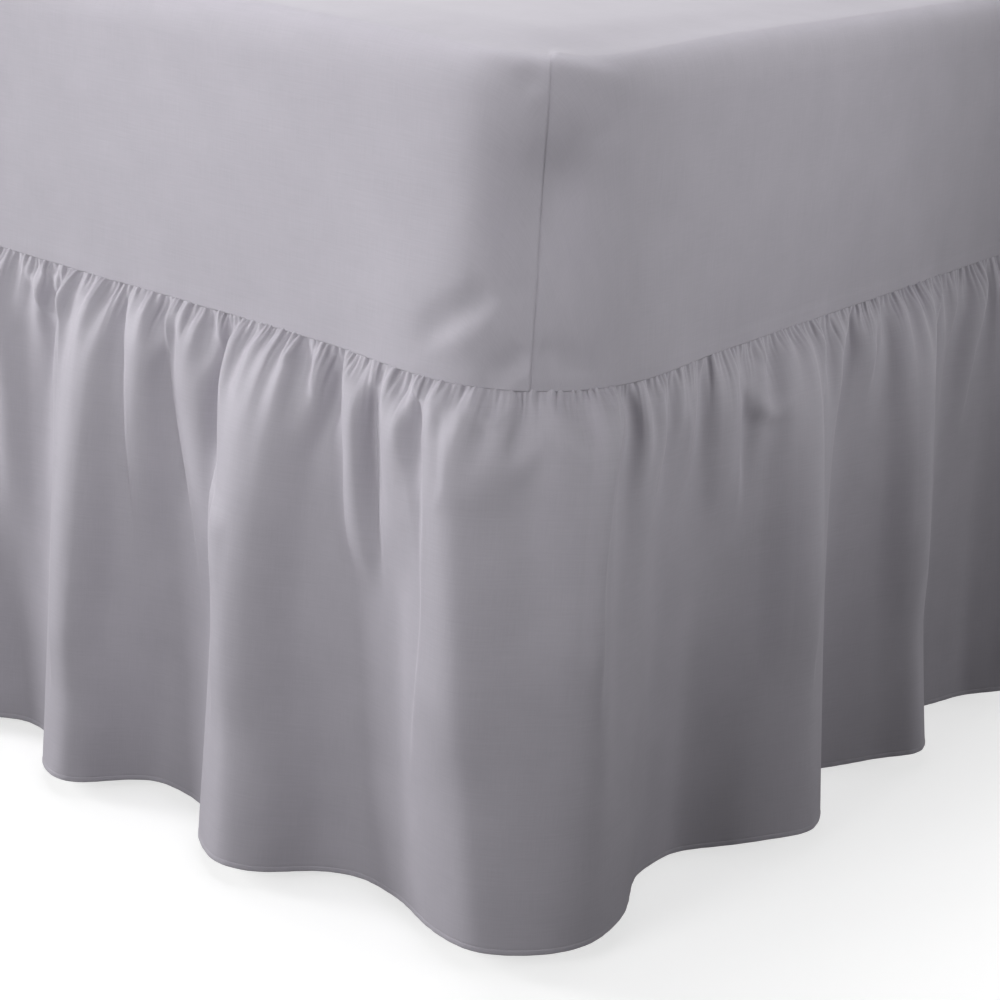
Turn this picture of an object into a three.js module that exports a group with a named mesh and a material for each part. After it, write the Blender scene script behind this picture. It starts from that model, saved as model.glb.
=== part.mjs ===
// Valance fitted sheet on a plain single divan bed.
// Millimetres, +Z up, bed length along Y. The foot end is at -Y.
// s runs along the frill seam, seen from above counter-clockwise,
// from the middle of the corner at +X, -Y. t runs down the frill, 0 to 1.
import * as THREE from 'three';

// ---------------------------------------------------------------- sizes
const MATTRESS = { width: 900, length: 1900, height: 216, corner: 118, edge: 26 };
const BASE = { inset: 15, bottom: 45, top: 417, corner: 60, edge: 4 };
const FOOT = { radius: 32, height: 44.7, inset: 110, sides: 24 };
const GAP = 0.3;              // between pieces that meet
const CLEAR = 2.2;            // cloth off the mattress faces and edges
const CLOTH = 1.6;            // cloth thickness
const SEAM_Z = 410;           // where the frill is sewn to the panel
const SEAM_CORNER = 90;       // plan radius of the panel's corners
const PANEL_EDGE = 27;        // rounding of the panel's top edge
const DROP = 402;             // frill, seam to hem, along the cloth
const PUFF = 7;               // how far the gathers push the frill out
const ROW_T = [0, 0.07, 0.2, 0.42, 0.7, 1];     // rows down the frill
const COLUMN_STEP = 18.4;     // frill columns along the seam
const FOLD_PITCH = 190;       // mean pitch of the hem folds
const RIDGE_PITCH = 78;       // mean pitch of the gathered ridges
const SEED = 4127;

const COLOUR = { cloth: 0xa9a6ad, mattress: 0xe9e7e2, base: 0xcfccc6, foot: 0x3a3a3c };

// Hem folds round the near corner, a row for each crest, valley and place on a flank.
// out: distance of the hem outside the seam.  top: where the line starts.
const NEAR_FOLDS = [
  { s: -602, top: -602, out: 4 }, { s: -546, top: -556, out: 56 }, { s: -519, top: -530, out: 24 },
  { s: -492, top: -505, out: 7 }, { s: -463, top: -466, out: 17 }, { s: -419, top: -432, out: 54 },
  { s: -389, top: -410, out: 67 }, { s: -376, top: -390, out: 61 }, { s: -358, top: -342, out: 28 },
  { s: -337, top: -300, out: 5 }, { s: -300, top: -286, out: 5 }, { s: -285, top: -270, out: 11 },
  { s: -247, top: -256, out: 46 }, { s: -201, top: -238, out: 72 }, { s: -171, top: -212, out: 62 },
  { s: -148, top: -158, out: 18 }, { s: -118, top: -138, out: 0 }, { s: -69, top: -98, out: 9 },
  { s: -30, top: -64, out: 41 }, { s: -14, top: -40, out: 56 }, { s: 2, top: -8, out: 60 },
  { s: 15, top: 12, out: 60 }, { s: 32, top: 32, out: 55 }, { s: 52, top: 50, out: 41 },
  { s: 75, top: 72, out: 28 }, { s: 123, top: 112, out: 3 }, { s: 168, top: 160, out: 5 },
  { s: 221, top: 232, out: 45 }, { s: 264, top: 282, out: 73 }, { s: 295, top: 306, out: 65 },
  { s: 331, top: 336, out: 44 }, { s: 380, top: 374, out: 12 }, { s: 417, top: 404, out: 44 },
  { s: 454, top: 434, out: 69 }, { s: 474, top: 458, out: 64 }, { s: 510, top: 505, out: 47 },
  { s: 556, top: 558, out: 24 }, { s: 591, top: 590, out: 38 }, { s: 634, top: 628, out: 68 },
  { s: 720, top: 720, out: 4 },
];

// Gathered ridges round the near corner, from s0 at t0 to s1 at t1.
const NEAR_RIDGES = [
  { s0: -562, s1: -552, t0: 0, t1: 0.45, wide: 19, high: 8 },
  { s0: -514, s1: -447, t0: 0, t1: 0.76, wide: 24, high: 10 },
  { s0: -489, s1: -442, t0: 0, t1: 0.24, wide: 18, high: 9 },
  { s0: -408, s1: -436, t0: 0, t1: 0.24, wide: 17, high: 9 },
  { s0: -369, s1: -333, t0: 0, t1: 0.52, wide: 19, high: 10 },
  { s0: -327, s1: -275, t0: 0, t1: 0.52, wide: 19, high: 10 },
  { s0: -270, s1: -266, t0: 0, t1: 0.42, wide: 16, high: 9 },
  { s0: -229, s1: -244, t0: 0, t1: 0.75, wide: 20, high: 10 },
  { s0: -149, s1: -126, t0: 0, t1: 0.48, wide: 19, high: 12 },
  { s0: -116, s1: -88, t0: 0, t1: 0.33, wide: 16, high: 9 },
  { s0: -90, s1: -56, t0: 0, t1: 0.66, wide: 18, high: 12 },
  { s0: -34, s1: -24, t0: 0, t1: 0.22, wide: 17, high: 9 },
  { s0: 12, s1: 24, t0: 0, t1: 0.22, wide: 17, high: 9 },
  { s0: 49, s1: 44, t0: 0, t1: 0.92, wide: 18, high: 12 },
  { s0: 90, s1: 84, t0: 0, t1: 0.26, wide: 17, high: 9 },
  { s0: 168, s1: 184, t0: 0, t1: 0.4, wide: 19, high: 10 },
  { s0: 204, s1: 218, t0: 0, t1: 0.24, wide: 17, high: 9 },
  { s0: 298, s1: 304, t0: 0, t1: 0.5, wide: 19, high: 10 },
  { s0: 396, s1: 408, t0: 0, t1: 0.3, wide: 18, high: 9 },
  { s0: 436, s1: 486, t0: 0, t1: 0.45, wide: 21, high: 11 },
  { s0: 590, s1: 600, t0: 0, t1: 0.4, wide: 20, high: 10 },
  { s0: 668, s1: 660, t0: 0, t1: 0.35, wide: 19, high: 9 },
];

// Where the four frill strips are joined, each join in a valley.
const JOINS = [-602, 720, 2158, 3520];
// Hem at the other corners: a broad bulge between two valleys.
const CORNER_BULGE = [
  { ds: -122, out: 2 }, { ds: -42, out: 35 }, { ds: 0, out: 46 }, { ds: 44, out: 34 }, { ds: 126, out: 3 },
];

// Soft unevenness of the panel's sides near a corner seam.
// ds: along from the seam.  h: 0 at the top edge, 1 at the frill seam.
const PANEL_SWELLS = [
  { ds: -66, h: 1.0, wide: 62, tall: 0.4, out: 11 },
  { ds: 66, h: 1.0, wide: 58, tall: 0.34, out: 5 },
  { ds: 0, h: 0.3, wide: 34, tall: 0.24, out: -4 },
  { ds: 0, h: 0.03, wide: 24, tall: 0.14, out: 3 },
];

// ---------------------------------------------------------------- helpers
function randoms(seed) {
  let a = seed >>> 0;
  return () => {
    a = (a + 0x6d2b79f5) >>> 0;
    let r = Math.imul(a ^ (a >>> 15), 1 | a);
    r = (r + Math.imul(r ^ (r >>> 7), 61 | r)) ^ r;
    return ((r ^ (r >>> 14)) >>> 0) / 4294967296;
  };
}
const clamp01 = (v) => Math.min(1, Math.max(0, v));
const smooth = (a, b, v) => { const k = clamp01((v - a) / (b - a)); return k * k * (3 - 2 * k); };
const bell = (v) => (Math.abs(v) < 2 ? Math.pow(Math.cos((v * Math.PI) / 4), 2) : 0);

// The seam line: a rounded rectangle in plan.
const HALF_X = MATTRESS.width / 2 + CLEAR + CLOTH / 2;
const HALF_Y = MATTRESS.length / 2 + CLEAR + CLOTH / 2;
const ARC = (Math.PI / 2) * SEAM_CORNER;
const RUN_Y = 2 * (HALF_Y - SEAM_CORNER);
const RUN_X = 2 * (HALF_X - SEAM_CORNER);
const AROUND = 2 * RUN_X + 2 * RUN_Y + 4 * ARC;
const CORNER_S = [0, RUN_Y + ARC, RUN_Y + RUN_X + 2 * ARC, 2 * RUN_Y + RUN_X + 3 * ARC];
const wrap = (s) => ((s % AROUND) + AROUND) % AROUND;
const nearest = (ds) => { const w = wrap(ds); return w > AROUND / 2 ? w - AROUND : w; };

// Point and outward direction on the seam at s.
function seamAt(s) {
  const sides = [
    { run: RUN_Y, turn: 0, cx: 1, cy: -1 }, { run: RUN_X, turn: 1, cx: 1, cy: 1 },
    { run: RUN_Y, turn: 2, cx: -1, cy: 1 }, { run: RUN_X, turn: 3, cx: -1, cy: -1 },
  ];
  let d = wrap(s + ARC / 2);
  for (const side of sides) {
    const cx = side.cx * (HALF_X - SEAM_CORNER);
    const cy = side.cy * (HALF_Y - SEAM_CORNER);
    const a1 = side.turn * Math.PI / 2;
    if (d <= ARC) {
      const a = a1 - Math.PI / 2 + d / SEAM_CORNER;
      return { x: cx + SEAM_CORNER * Math.cos(a), y: cy + SEAM_CORNER * Math.sin(a), nx: Math.cos(a), ny: Math.sin(a) };
    }
    d -= ARC;
    if (d <= side.run) {
      const nx = Math.cos(a1);
      const ny = Math.sin(a1);
      return { x: cx + SEAM_CORNER * nx - ny * d, y: cy + SEAM_CORNER * ny + nx * d, nx, ny };
    }
    d -= side.run;
  }
  return seamAt(0);
}

// ---------------------------------------------------------------- folds
// Crest and valley rows between two places, uneven in pitch and height.
function foldsBetween(from, to, rand) {
  const pairs = Math.max(1, Math.round((to - from) / FOLD_PITCH));
  const pitch = (to - from) / pairs;
  const rows = [];
  for (let i = 0; i < pairs; i += 1) {
    const start = from + i * pitch;
    const crest = start + pitch * (0.42 + 0.2 * rand());
    rows.push({ s: crest, top: crest + 44 * (rand() - 0.5), out: 58 + 14 * rand() });
    if (i < pairs - 1) {
      const valley = start + pitch * (0.96 + 0.1 * rand());
      rows.push({ s: valley, top: valley + 36 * (rand() - 0.5), out: 1 + 17 * rand() });
    }
  }
  return rows;
}

function allFolds() {
  const rand = randoms(SEED);
  const rows = [...NEAR_FOLDS];
  const stops = [];
  for (const c of CORNER_S.slice(1)) {
    for (const b of CORNER_BULGE) stops.push({ s: c + b.ds, top: c + b.ds * 0.92, out: b.out });
  }
  for (const j of JOINS.slice(2)) stops.push({ s: j, top: j, out: 4 });
  stops.push({ ...NEAR_FOLDS[0], s: NEAR_FOLDS[0].s + AROUND, top: NEAR_FOLDS[0].top + AROUND, last: true });
  stops.sort((a, b) => a.s - b.s);
  let from = NEAR_FOLDS[NEAR_FOLDS.length - 1].s;
  for (const stop of stops) {
    if (stop.s - from > 0.5 * FOLD_PITCH) rows.push(...foldsBetween(from, stop.s, rand));
    if (!stop.last) rows.push(stop);
    from = stop.s;
  }
  return rows;
}
const FOLDS = allFolds();

function allRidges() {
  const rand = randoms(SEED + 1);
  const rows = [...NEAR_RIDGES];
  const end = NEAR_FOLDS[0].s + AROUND;
  for (let s = JOINS[1] + 34; s < end - 34; s += RIDGE_PITCH * (0.72 + 0.56 * rand())) {
    if (JOINS.some((j) => Math.abs(nearest(s - j)) < 26)) continue;
    rows.push({ s0: s, s1: s + 46 * (rand() - 0.5), t0: 0, t1: 0.22 + 0.5 * rand() * rand() + 0.12 * rand(), wide: 16 + 6 * rand(), high: 8 + 4 * rand() });
  }
  return rows;
}
const RIDGES = allRidges();

// Fold height at the hem: a smooth line through crests, flanks and valleys, which lean with t.
function foldOut(s, t) {
  const n = FOLDS.length;
  const turn = (i) => Math.floor(i / n);
  const row = (i) => FOLDS[((i % n) + n) % n];
  const lean = (i) => { const r = row(i); return r.top + (r.s - r.top) * Math.pow(t, 1.4) + turn(i) * AROUND; };
  const rise = (i) => (row(i + 1).out - row(i).out) / (lean(i + 1) - lean(i));
  const slope = (i) => {
    const before = rise(i - 1);
    const after = rise(i);
    if (before * after <= 0) return 0;
    const g0 = lean(i) - lean(i - 1);
    const g1 = lean(i + 1) - lean(i);
    return (3 * (g0 + g1)) / ((2 * g1 + g0) / before + (g1 + 2 * g0) / after);
  };
  const u = wrap(s - lean(0)) + lean(0);
  for (let i = 0; i < n; i += 1) {
    const sa = lean(i);
    const gap = lean(i + 1) - sa;
    if (u < sa || u > sa + gap) continue;
    const f = (u - sa) / gap;
    const g = 1 - f;
    return row(i).out * (1 + 2 * f) * g * g + row(i + 1).out * f * f * (1 + 2 * g) + gap * f * g * (slope(i) * g - slope(i + 1) * f);
  }
  return FOLDS[0].out;
}

function ridgeOut(s, t) {
  let sum = 0;
  for (const r of RIDGES) {
    if (t >= r.t1) continue;
    const k = (t - r.t0) / (r.t1 - r.t0);
    const ds = nearest(s - (r.s0 + (r.s1 - r.s0) * k));
    if (Math.abs(ds) > 2 * r.wide) continue;
    sum += r.high * bell(ds / r.wide) * smooth(0, 0.09, t) * (1 - smooth(0.55, 1, k));
  }
  return sum;
}

// How far the frill stands out from the seam line.
function frillOut(s, t) {
  const spread = 0.1 * smooth(0, 0.1, t) + 0.9 * Math.pow(t, 1.05);
  return PUFF * smooth(0, 0.08, t) * (1 - 0.75 * t) + foldOut(s, t) * spread + ridgeOut(s, t);
}

// How far the panel's side stands out from its plain face.
function panelOut(s, h) {
  let sum = 0;
  for (const c of CORNER_S) {
    const ds = nearest(s - c);
    for (const w of PANEL_SWELLS) sum += w.out * bell((ds - w.ds) / w.wide) * bell((h - w.h) / w.tall);
  }
  return Math.max(sum, -3);
}

function frillPoint(s, t) {
  const seam = seamAt(s);
  const base = panelOut(s, 1) * (1 - 0.6 * t);
  const out = base + frillOut(s, t);
  const hang = DROP * t;
  const rise = (out * out) / (2 * DROP) * t;
  return new THREE.Vector3(seam.x + seam.nx * out, seam.y + seam.ny * out, SEAM_Z - GAP - hang + rise);
}

// ---------------------------------------------------------------- solids
// A closed sheet from a grid of middle points and half-thickness vectors.
function sheetGeometry(middle, half, closedRound) {
  const rows = middle.length;
  const cols = middle[0].length;
  const pos = [];
  for (const side of [1, -1]) {
    for (let i = 0; i < rows; i += 1) {
      for (let j = 0; j < cols; j += 1) {
        const p = middle[i][j].clone().addScaledVector(half[i][j], side);
        pos.push(p.x, p.y, p.z);
      }
    }
  }
  const idx = [];
  const at = (side, i, j) => side * rows * cols + i * cols + (j % cols);
  const quad = (a, b, c, d) => idx.push(a, b, c, a, c, d);
  const lastCol = closedRound ? cols : cols - 1;
  for (let i = 0; i < rows - 1; i += 1) {
    for (let j = 0; j < lastCol; j += 1) {
      quad(at(0, i, j), at(0, i + 1, j), at(0, i + 1, j + 1), at(0, i, j + 1));
      quad(at(1, i, j), at(1, i, j + 1), at(1, i + 1, j + 1), at(1, i + 1, j));
    }
  }
  for (let j = 0; j < lastCol; j += 1) {
    quad(at(0, rows - 1, j), at(1, rows - 1, j), at(1, rows - 1, j + 1), at(0, rows - 1, j + 1));
    if (!closedRound) quad(at(0, 0, j), at(0, 0, j + 1), at(1, 0, j + 1), at(1, 0, j));
  }
  if (!closedRound) {
    for (let i = 0; i < rows - 1; i += 1) {
      quad(at(0, i, 0), at(1, i, 0), at(1, i + 1, 0), at(0, i + 1, 0));
      quad(at(0, i, cols - 1), at(0, i + 1, cols - 1), at(1, i + 1, cols - 1), at(1, i, cols - 1));
    }
  }
  return { pos, idx, rows, cols, at };
}

function geometryOf(pos, idx) {
  const g = new THREE.BufferGeometry();
  g.setAttribute('position', new THREE.Float32BufferAttribute(pos, 3));
  g.setIndex(idx);
  g.computeVertexNormals();
  return g;
}

// One strip of the gathered frill between two joins.
function frillStrip(from, to) {
  const count = Math.round((to - from) / COLUMN_STEP);
  const a = from + GAP / 2;
  const b = to - GAP / 2;
  const middle = [];
  const half = [];
  const eps = 1.5;
  ROW_T.forEach((t, i) => {
    const rowM = [];
    const rowH = [];
    for (let j = 0; j <= count; j += 1) {
      const s = a + ((b - a) * j) / count;
      rowM.push(frillPoint(s, t));
      const seam = seamAt(s);
      const out = new THREE.Vector3(seam.nx, seam.ny, 0);
      const along = frillPoint(s + eps, t).sub(frillPoint(s - eps, t));
      const down = frillPoint(s, Math.min(1, t + 0.01)).sub(frillPoint(s, Math.max(0, t - 0.01)));
      const normal = new THREE.Vector3().crossVectors(down, along).normalize();
      if (normal.dot(out) < 0) normal.negate();
      if (j === 0 || j === count) normal.copy(out);
      else if (i === 0 || i === ROW_T.length - 1) normal.setZ(0).normalize();
      rowH.push(normal.multiplyScalar(CLOTH / 2));
    }
    middle.push(rowM);
    half.push(rowH);
  });
  const sheet = sheetGeometry(middle, half, false);
  return geometryOf(sheet.pos, sheet.idx);
}

// Places round the panel: close together at the corners, wider on the sides.
function panelColumns() {
  const offsets = [0, 17, 35, 53, 72, 104, 150, 220];
  const list = [];
  CORNER_S.forEach((c, i) => {
    const next = i < 3 ? CORNER_S[i + 1] : AROUND;
    const inner = next - c - 2 * offsets[offsets.length - 1];
    const parts = Math.max(2, Math.round(inner / 240));
    for (const o of offsets) list.push(c + o);
    for (let k = 1; k < parts; k += 1) list.push(c + offsets[offsets.length - 1] + (inner * k) / parts);
    for (const o of offsets.slice(1).reverse()) list.push(next - o);
  });
  return list;
}

// The fitted panel: top and sides in one sheet, open below.
function fittedPanel() {
  const topZ = BASE.top + GAP + MATTRESS.height + CLEAR + CLOTH / 2;
  const sideTop = topZ - PANEL_EDGE;
  const rings = [{ inset: 150, z: topZ, nz: 1, h: -1 }, { inset: PANEL_EDGE + 26, z: topZ, nz: 1, h: -0.1 }];
  const edgeSteps = 3;
  for (let k = 0; k <= edgeSteps; k += 1) {
    const a = (Math.PI / 2) * (k / edgeSteps);
    rings.push({ inset: PANEL_EDGE * (1 - Math.sin(a)), z: sideTop + PANEL_EDGE * Math.cos(a), nz: Math.cos(a), h: 0.02 * k });
  }
  for (const h of [0.3, 0.62, 1]) rings.push({ inset: 0, z: sideTop + (SEAM_Z - sideTop) * h, nz: 0, h });
  const columns = panelColumns();
  const middle = [];
  const half = [];
  for (const ring of rings) {
    const rowM = [];
    const rowH = [];
    for (const s of columns) {
      const seam = seamAt(s);
      // deep insets slide in along the corner's own centre line
      const reach = Math.min(ring.inset, SEAM_CORNER - 8);
      const more = ring.inset - reach;
      const sx = Math.sign(seam.x) * Math.min(more, more * Math.abs(seam.nx) * 4);
      const sy = Math.sign(seam.y) * Math.min(more, more * Math.abs(seam.ny) * 4);
      const swell = ring.h < 0 ? 0 : panelOut(s, ring.h);
      const d = swell - reach;
      rowM.push(new THREE.Vector3(seam.x + seam.nx * d - sx, seam.y + seam.ny * d - sy, ring.z));
      const n = Math.sqrt(1 - ring.nz * ring.nz);
      rowH.push(new THREE.Vector3(seam.nx * n, seam.ny * n, ring.nz).multiplyScalar(CLOTH / 2));
    }
    middle.push(rowM);
    half.push(rowH);
  }
  const sheet = sheetGeometry(middle, half, true);
  for (const side of [0, 1]) {
    const ring = [];
    for (let j = 0; j < sheet.cols; j += 1) {
      const k = 3 * sheet.at(side, 0, j);
      ring.push(new THREE.Vector2(sheet.pos[k], sheet.pos[k + 1]));
    }
    for (const [p, q, r] of THREE.ShapeUtils.triangulateShape(ring, [])) {
      const tri = [sheet.at(side, 0, p), sheet.at(side, 0, q), sheet.at(side, 0, r)];
      sheet.idx.push(...(side === 0 ? tri : tri.reverse()));
    }
  }
  return geometryOf(sheet.pos, sheet.idx);
}

// A block with rounded corners in plan and rounded edges.
function roundedBlock(width, length, height, corner, edge) {
  const hx = width / 2 - edge;
  const hy = length / 2 - edge;
  const r = corner - edge;
  const shape = new THREE.Shape();
  shape.moveTo(hx, -hy + r);
  shape.lineTo(hx, hy - r);
  shape.absarc(hx - r, hy - r, r, 0, Math.PI / 2, false);
  shape.lineTo(-hx + r, hy);
  shape.absarc(-hx + r, hy - r, r, Math.PI / 2, Math.PI, false);
  shape.lineTo(-hx, -hy + r);
  shape.absarc(-hx + r, -hy + r, r, Math.PI, 1.5 * Math.PI, false);
  shape.lineTo(hx - r, -hy);
  shape.absarc(hx - r, -hy + r, r, 1.5 * Math.PI, 2 * Math.PI, false);
  const g = new THREE.ExtrudeGeometry(shape, {
    depth: height - 2 * edge, steps: 1, curveSegments: 8,
    bevelEnabled: true, bevelThickness: edge, bevelSize: edge, bevelSegments: 3,
  });
  g.translate(0, 0, edge);
  return g;
}

// ---------------------------------------------------------------- the part
const paint = (colour, roughness) => new THREE.MeshStandardMaterial({ color: colour, roughness, metalness: 0 });
const bed = new THREE.Group();
function add(name, geometry, material, z = 0) {
  const mesh = new THREE.Mesh(geometry, material);
  mesh.name = name;
  mesh.position.z = z;
  bed.add(mesh);
  return mesh;
}

const clothPaint = paint(COLOUR.cloth, 0.85);
add('fitted_panel', fittedPanel(), clothPaint);
JOINS.forEach((from, i) => {
  const to = i < 3 ? JOINS[i + 1] : JOINS[0] + AROUND;
  add(`frill_strip_${i + 1}`, frillStrip(from, to), clothPaint);
});

const mattressPaint = paint(COLOUR.mattress, 0.9);
add('mattress', roundedBlock(MATTRESS.width, MATTRESS.length, MATTRESS.height, MATTRESS.corner, MATTRESS.edge), mattressPaint, BASE.top + GAP);
const baseWidth = MATTRESS.width - 2 * BASE.inset;
const baseLength = MATTRESS.length - 2 * BASE.inset;
add('divan_base', roundedBlock(baseWidth, baseLength, BASE.top - BASE.bottom, BASE.corner, BASE.edge), paint(COLOUR.base, 0.9), BASE.bottom);

const footPaint = paint(COLOUR.foot, 0.6);
let footNumber = 1;
for (const sx of [-1, 1]) {
  for (const sy of [-1, 1]) {
    const g = new THREE.CylinderGeometry(FOOT.radius * 0.86, FOOT.radius, FOOT.height, FOOT.sides);
    g.rotateX(Math.PI / 2);
    const foot = add(`foot_${footNumber}`, g, footPaint, FOOT.height / 2);
    foot.position.x = sx * (baseWidth / 2 - FOOT.inset);
    foot.position.y = sy * (baseLength / 2 - FOOT.inset);
    footNumber += 1;
  }
}

// Stand the part on z = 0 with its own box centred on the origin.
bed.updateMatrixWorld(true);
const box = new THREE.Box3().setFromObject(bed);
bed.position.set(-(box.min.x + box.max.x) / 2, -(box.min.y + box.max.y) / 2, -box.min.z);
bed.updateMatrixWorld(true);

export default bed;
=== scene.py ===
import math
import bmesh
import bpy
import numpy as np
from mathutils import Matrix, Vector


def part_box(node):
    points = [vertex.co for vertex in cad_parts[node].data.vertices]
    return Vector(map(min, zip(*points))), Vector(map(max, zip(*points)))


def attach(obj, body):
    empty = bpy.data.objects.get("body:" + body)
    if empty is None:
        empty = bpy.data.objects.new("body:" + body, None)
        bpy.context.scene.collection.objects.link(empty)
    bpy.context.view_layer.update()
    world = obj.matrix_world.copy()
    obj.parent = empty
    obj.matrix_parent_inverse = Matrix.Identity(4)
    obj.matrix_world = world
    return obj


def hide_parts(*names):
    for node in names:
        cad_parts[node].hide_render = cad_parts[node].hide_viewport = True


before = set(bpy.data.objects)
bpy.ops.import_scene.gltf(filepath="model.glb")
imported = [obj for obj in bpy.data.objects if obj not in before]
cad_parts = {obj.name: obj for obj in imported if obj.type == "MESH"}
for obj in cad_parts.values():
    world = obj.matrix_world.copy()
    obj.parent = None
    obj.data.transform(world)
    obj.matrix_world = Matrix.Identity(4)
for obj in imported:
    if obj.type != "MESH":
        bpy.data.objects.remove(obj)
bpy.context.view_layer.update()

# ------------------------------------------------------------------ sizes, metres
MM = 0.001
_lo, _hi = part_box("mattress")
MID_X, MID_Y = (_lo.x + _hi.x) / 2, (_lo.y + _hi.y) / 2
CLEAR, CLOTH = 2.2 * MM, 1.6 * MM
HALF_X = (_hi.x - _lo.x) / 2 + CLEAR + CLOTH / 2
HALF_Y = (_hi.y - _lo.y) / 2 + CLEAR + CLOTH / 2
TOP_Z = _hi.z + CLEAR + CLOTH / 2
SEAM_Z = 410 * MM
SEAM_R = 90 * MM
PANEL_EDGE, PANEL_FALL = 16 * MM, 32 * MM     # how the panel's top edge turns over: in, and down
DROP = 402 * MM
PUFF = 7 * MM
FOLD_PITCH = 190.0          # mm, as the tables
RIDGE_PITCH = 78.0
SEED = 4127
TUCK = 3.0 * MM             # frill cloth caught inside the seam
HEM = 4.2 * MM              # turned hem

ARC = math.pi / 2 * SEAM_R
RUN_Y = 2 * (HALF_Y - SEAM_R)
RUN_X = 2 * (HALF_X - SEAM_R)
AROUND = 2 * RUN_X + 2 * RUN_Y + 4 * ARC
CORNER_S = [0.0, RUN_Y + ARC, RUN_Y + RUN_X + 2 * ARC, 2 * RUN_Y + RUN_X + 3 * ARC]

# Hem folds round the near corner, with their flanks: s, top, out (mm).
NEAR_FOLDS = [
    (-602, -602, 4), (-546, -556, 56), (-519, -530, 24), (-492, -505, 7), (-451, -458, 14), (-424, -436, 54),
    (-389, -410, 67), (-376, -390, 61), (-358, -342, 28), (-337, -300, 5), (-300, -286, 5), (-277, -266, 10),
    (-251, -258, 48), (-206, -238, 73), (-178, -214, 62), (-150, -158, 17), (-118, -138, 0), (-72, -98, 7),
    (-34, -64, 42), (-19, -42, 57), (2, -8, 60), (15, 12, 60), (32, 32, 55), (52, 50, 41), (75, 72, 28),
    (123, 112, 3), (168, 160, 5), (221, 232, 45), (264, 282, 73), (295, 306, 65), (319, 327, 44), (354, 356, 10),
    (417, 404, 44), (454, 434, 69), (474, 458, 64), (498, 496, 45), (530, 540, 19), (591, 590, 38), (634, 628, 68),
    (720, 720, 4),
]
# Gathered ridges round the near corner: s0, s1, t1, wide, high.
NEAR_RIDGES = [
    (-562, -552, .45, 19, 8), (-514, -447, .76, 24, 10), (-489, -442, .24, 18, 9),
    (-408, -436, .24, 17, 9), (-369, -333, .52, 19, 10), (-327, -275, .52, 19, 10),
    (-270, -266, .42, 16, 9), (-229, -244, .75, 20, 10), (-149, -126, .48, 19, 12),
    (-116, -88, .33, 16, 9), (-90, -56, .66, 18, 12), (-34, -24, .22, 17, 9),
    (12, 24, .22, 17, 9), (49, 44, .92, 18, 12), (90, 84, .26, 17, 9),
    (168, 184, .4, 19, 10), (204, 218, .24, 17, 9), (298, 304, .5, 19, 10),
    (396, 408, .3, 18, 9), (436, 486, .45, 21, 11), (590, 600, .4, 20, 10),
    (668, 660, .35, 19, 9),
]
JOINS = [-602, 720, 2158, 3520]
CORNER_BULGE = [(-122, 2), (-42, 35), (0, 46), (44, 34), (126, 3)]
# Swells of the panel's sides by a corner seam: ds, h, wide, tall, out.
PANEL_SWELLS = [(-66, 1.0, 62, .40, 11), (66, 1.0, 58, .34, 5), (0, .30, 34, .24, -4), (0, .03, 24, .14, 3), (24, .35, 27, .40, 1.5)]


def randoms(seed):
    """The part's own seeded numbers, so that the unseen folds fall where its solids have them."""
    state = [seed & 0xFFFFFFFF]

    def imul(a, b):
        return (a * b) & 0xFFFFFFFF

    def nxt():
        state[0] = (state[0] + 0x6D2B79F5) & 0xFFFFFFFF
        a = state[0]
        r = imul(a ^ (a >> 15), 1 | a)
        r = ((r + imul(r ^ (r >> 7), 61 | r)) & 0xFFFFFFFF) ^ r
        return (r ^ (r >> 14)) / 4294967296
    return nxt


def smooth(a, b, v):
    k = np.clip((v - a) / (b - a), 0, 1)
    return k * k * (3 - 2 * k)


def bell(v):
    return np.where(np.abs(v) < 2, np.cos(np.clip(v, -2, 2) * math.pi / 4) ** 2, 0.0)


def nearest(ds):
    return (ds + AROUND / 2) % AROUND - AROUND / 2


# ------------------------------------------------------------------ the seam line
def seam_at(s):
    """Points and outward directions on the seam line, a rounded rectangle in plan."""
    d = np.mod(np.asarray(s, float) + ARC / 2, AROUND)
    x, y = np.zeros_like(d), np.zeros_like(d)
    nx, ny = np.zeros_like(d), np.zeros_like(d)
    start = 0.0
    for turn, (run, cx, cy) in enumerate([(RUN_Y, 1, -1), (RUN_X, 1, 1), (RUN_Y, -1, 1), (RUN_X, -1, -1)]):
        mx, my = cx * (HALF_X - SEAM_R), cy * (HALF_Y - SEAM_R)
        a1 = turn * math.pi / 2
        e = d - start
        m = (e >= 0) & (e <= ARC)
        a = a1 - math.pi / 2 + e[m] / SEAM_R
        nx[m], ny[m] = np.cos(a), np.sin(a)
        x[m], y[m] = mx + SEAM_R * nx[m], my + SEAM_R * ny[m]
        m = (e > ARC) & (e <= ARC + run)
        c, sn = math.cos(a1), math.sin(a1)
        nx[m], ny[m] = c, sn
        x[m] = mx + SEAM_R * c - sn * (e[m] - ARC)
        y[m] = my + SEAM_R * sn + c * (e[m] - ARC)
        start += ARC + run
    return x + MID_X, y + MID_Y, nx, ny


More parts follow.
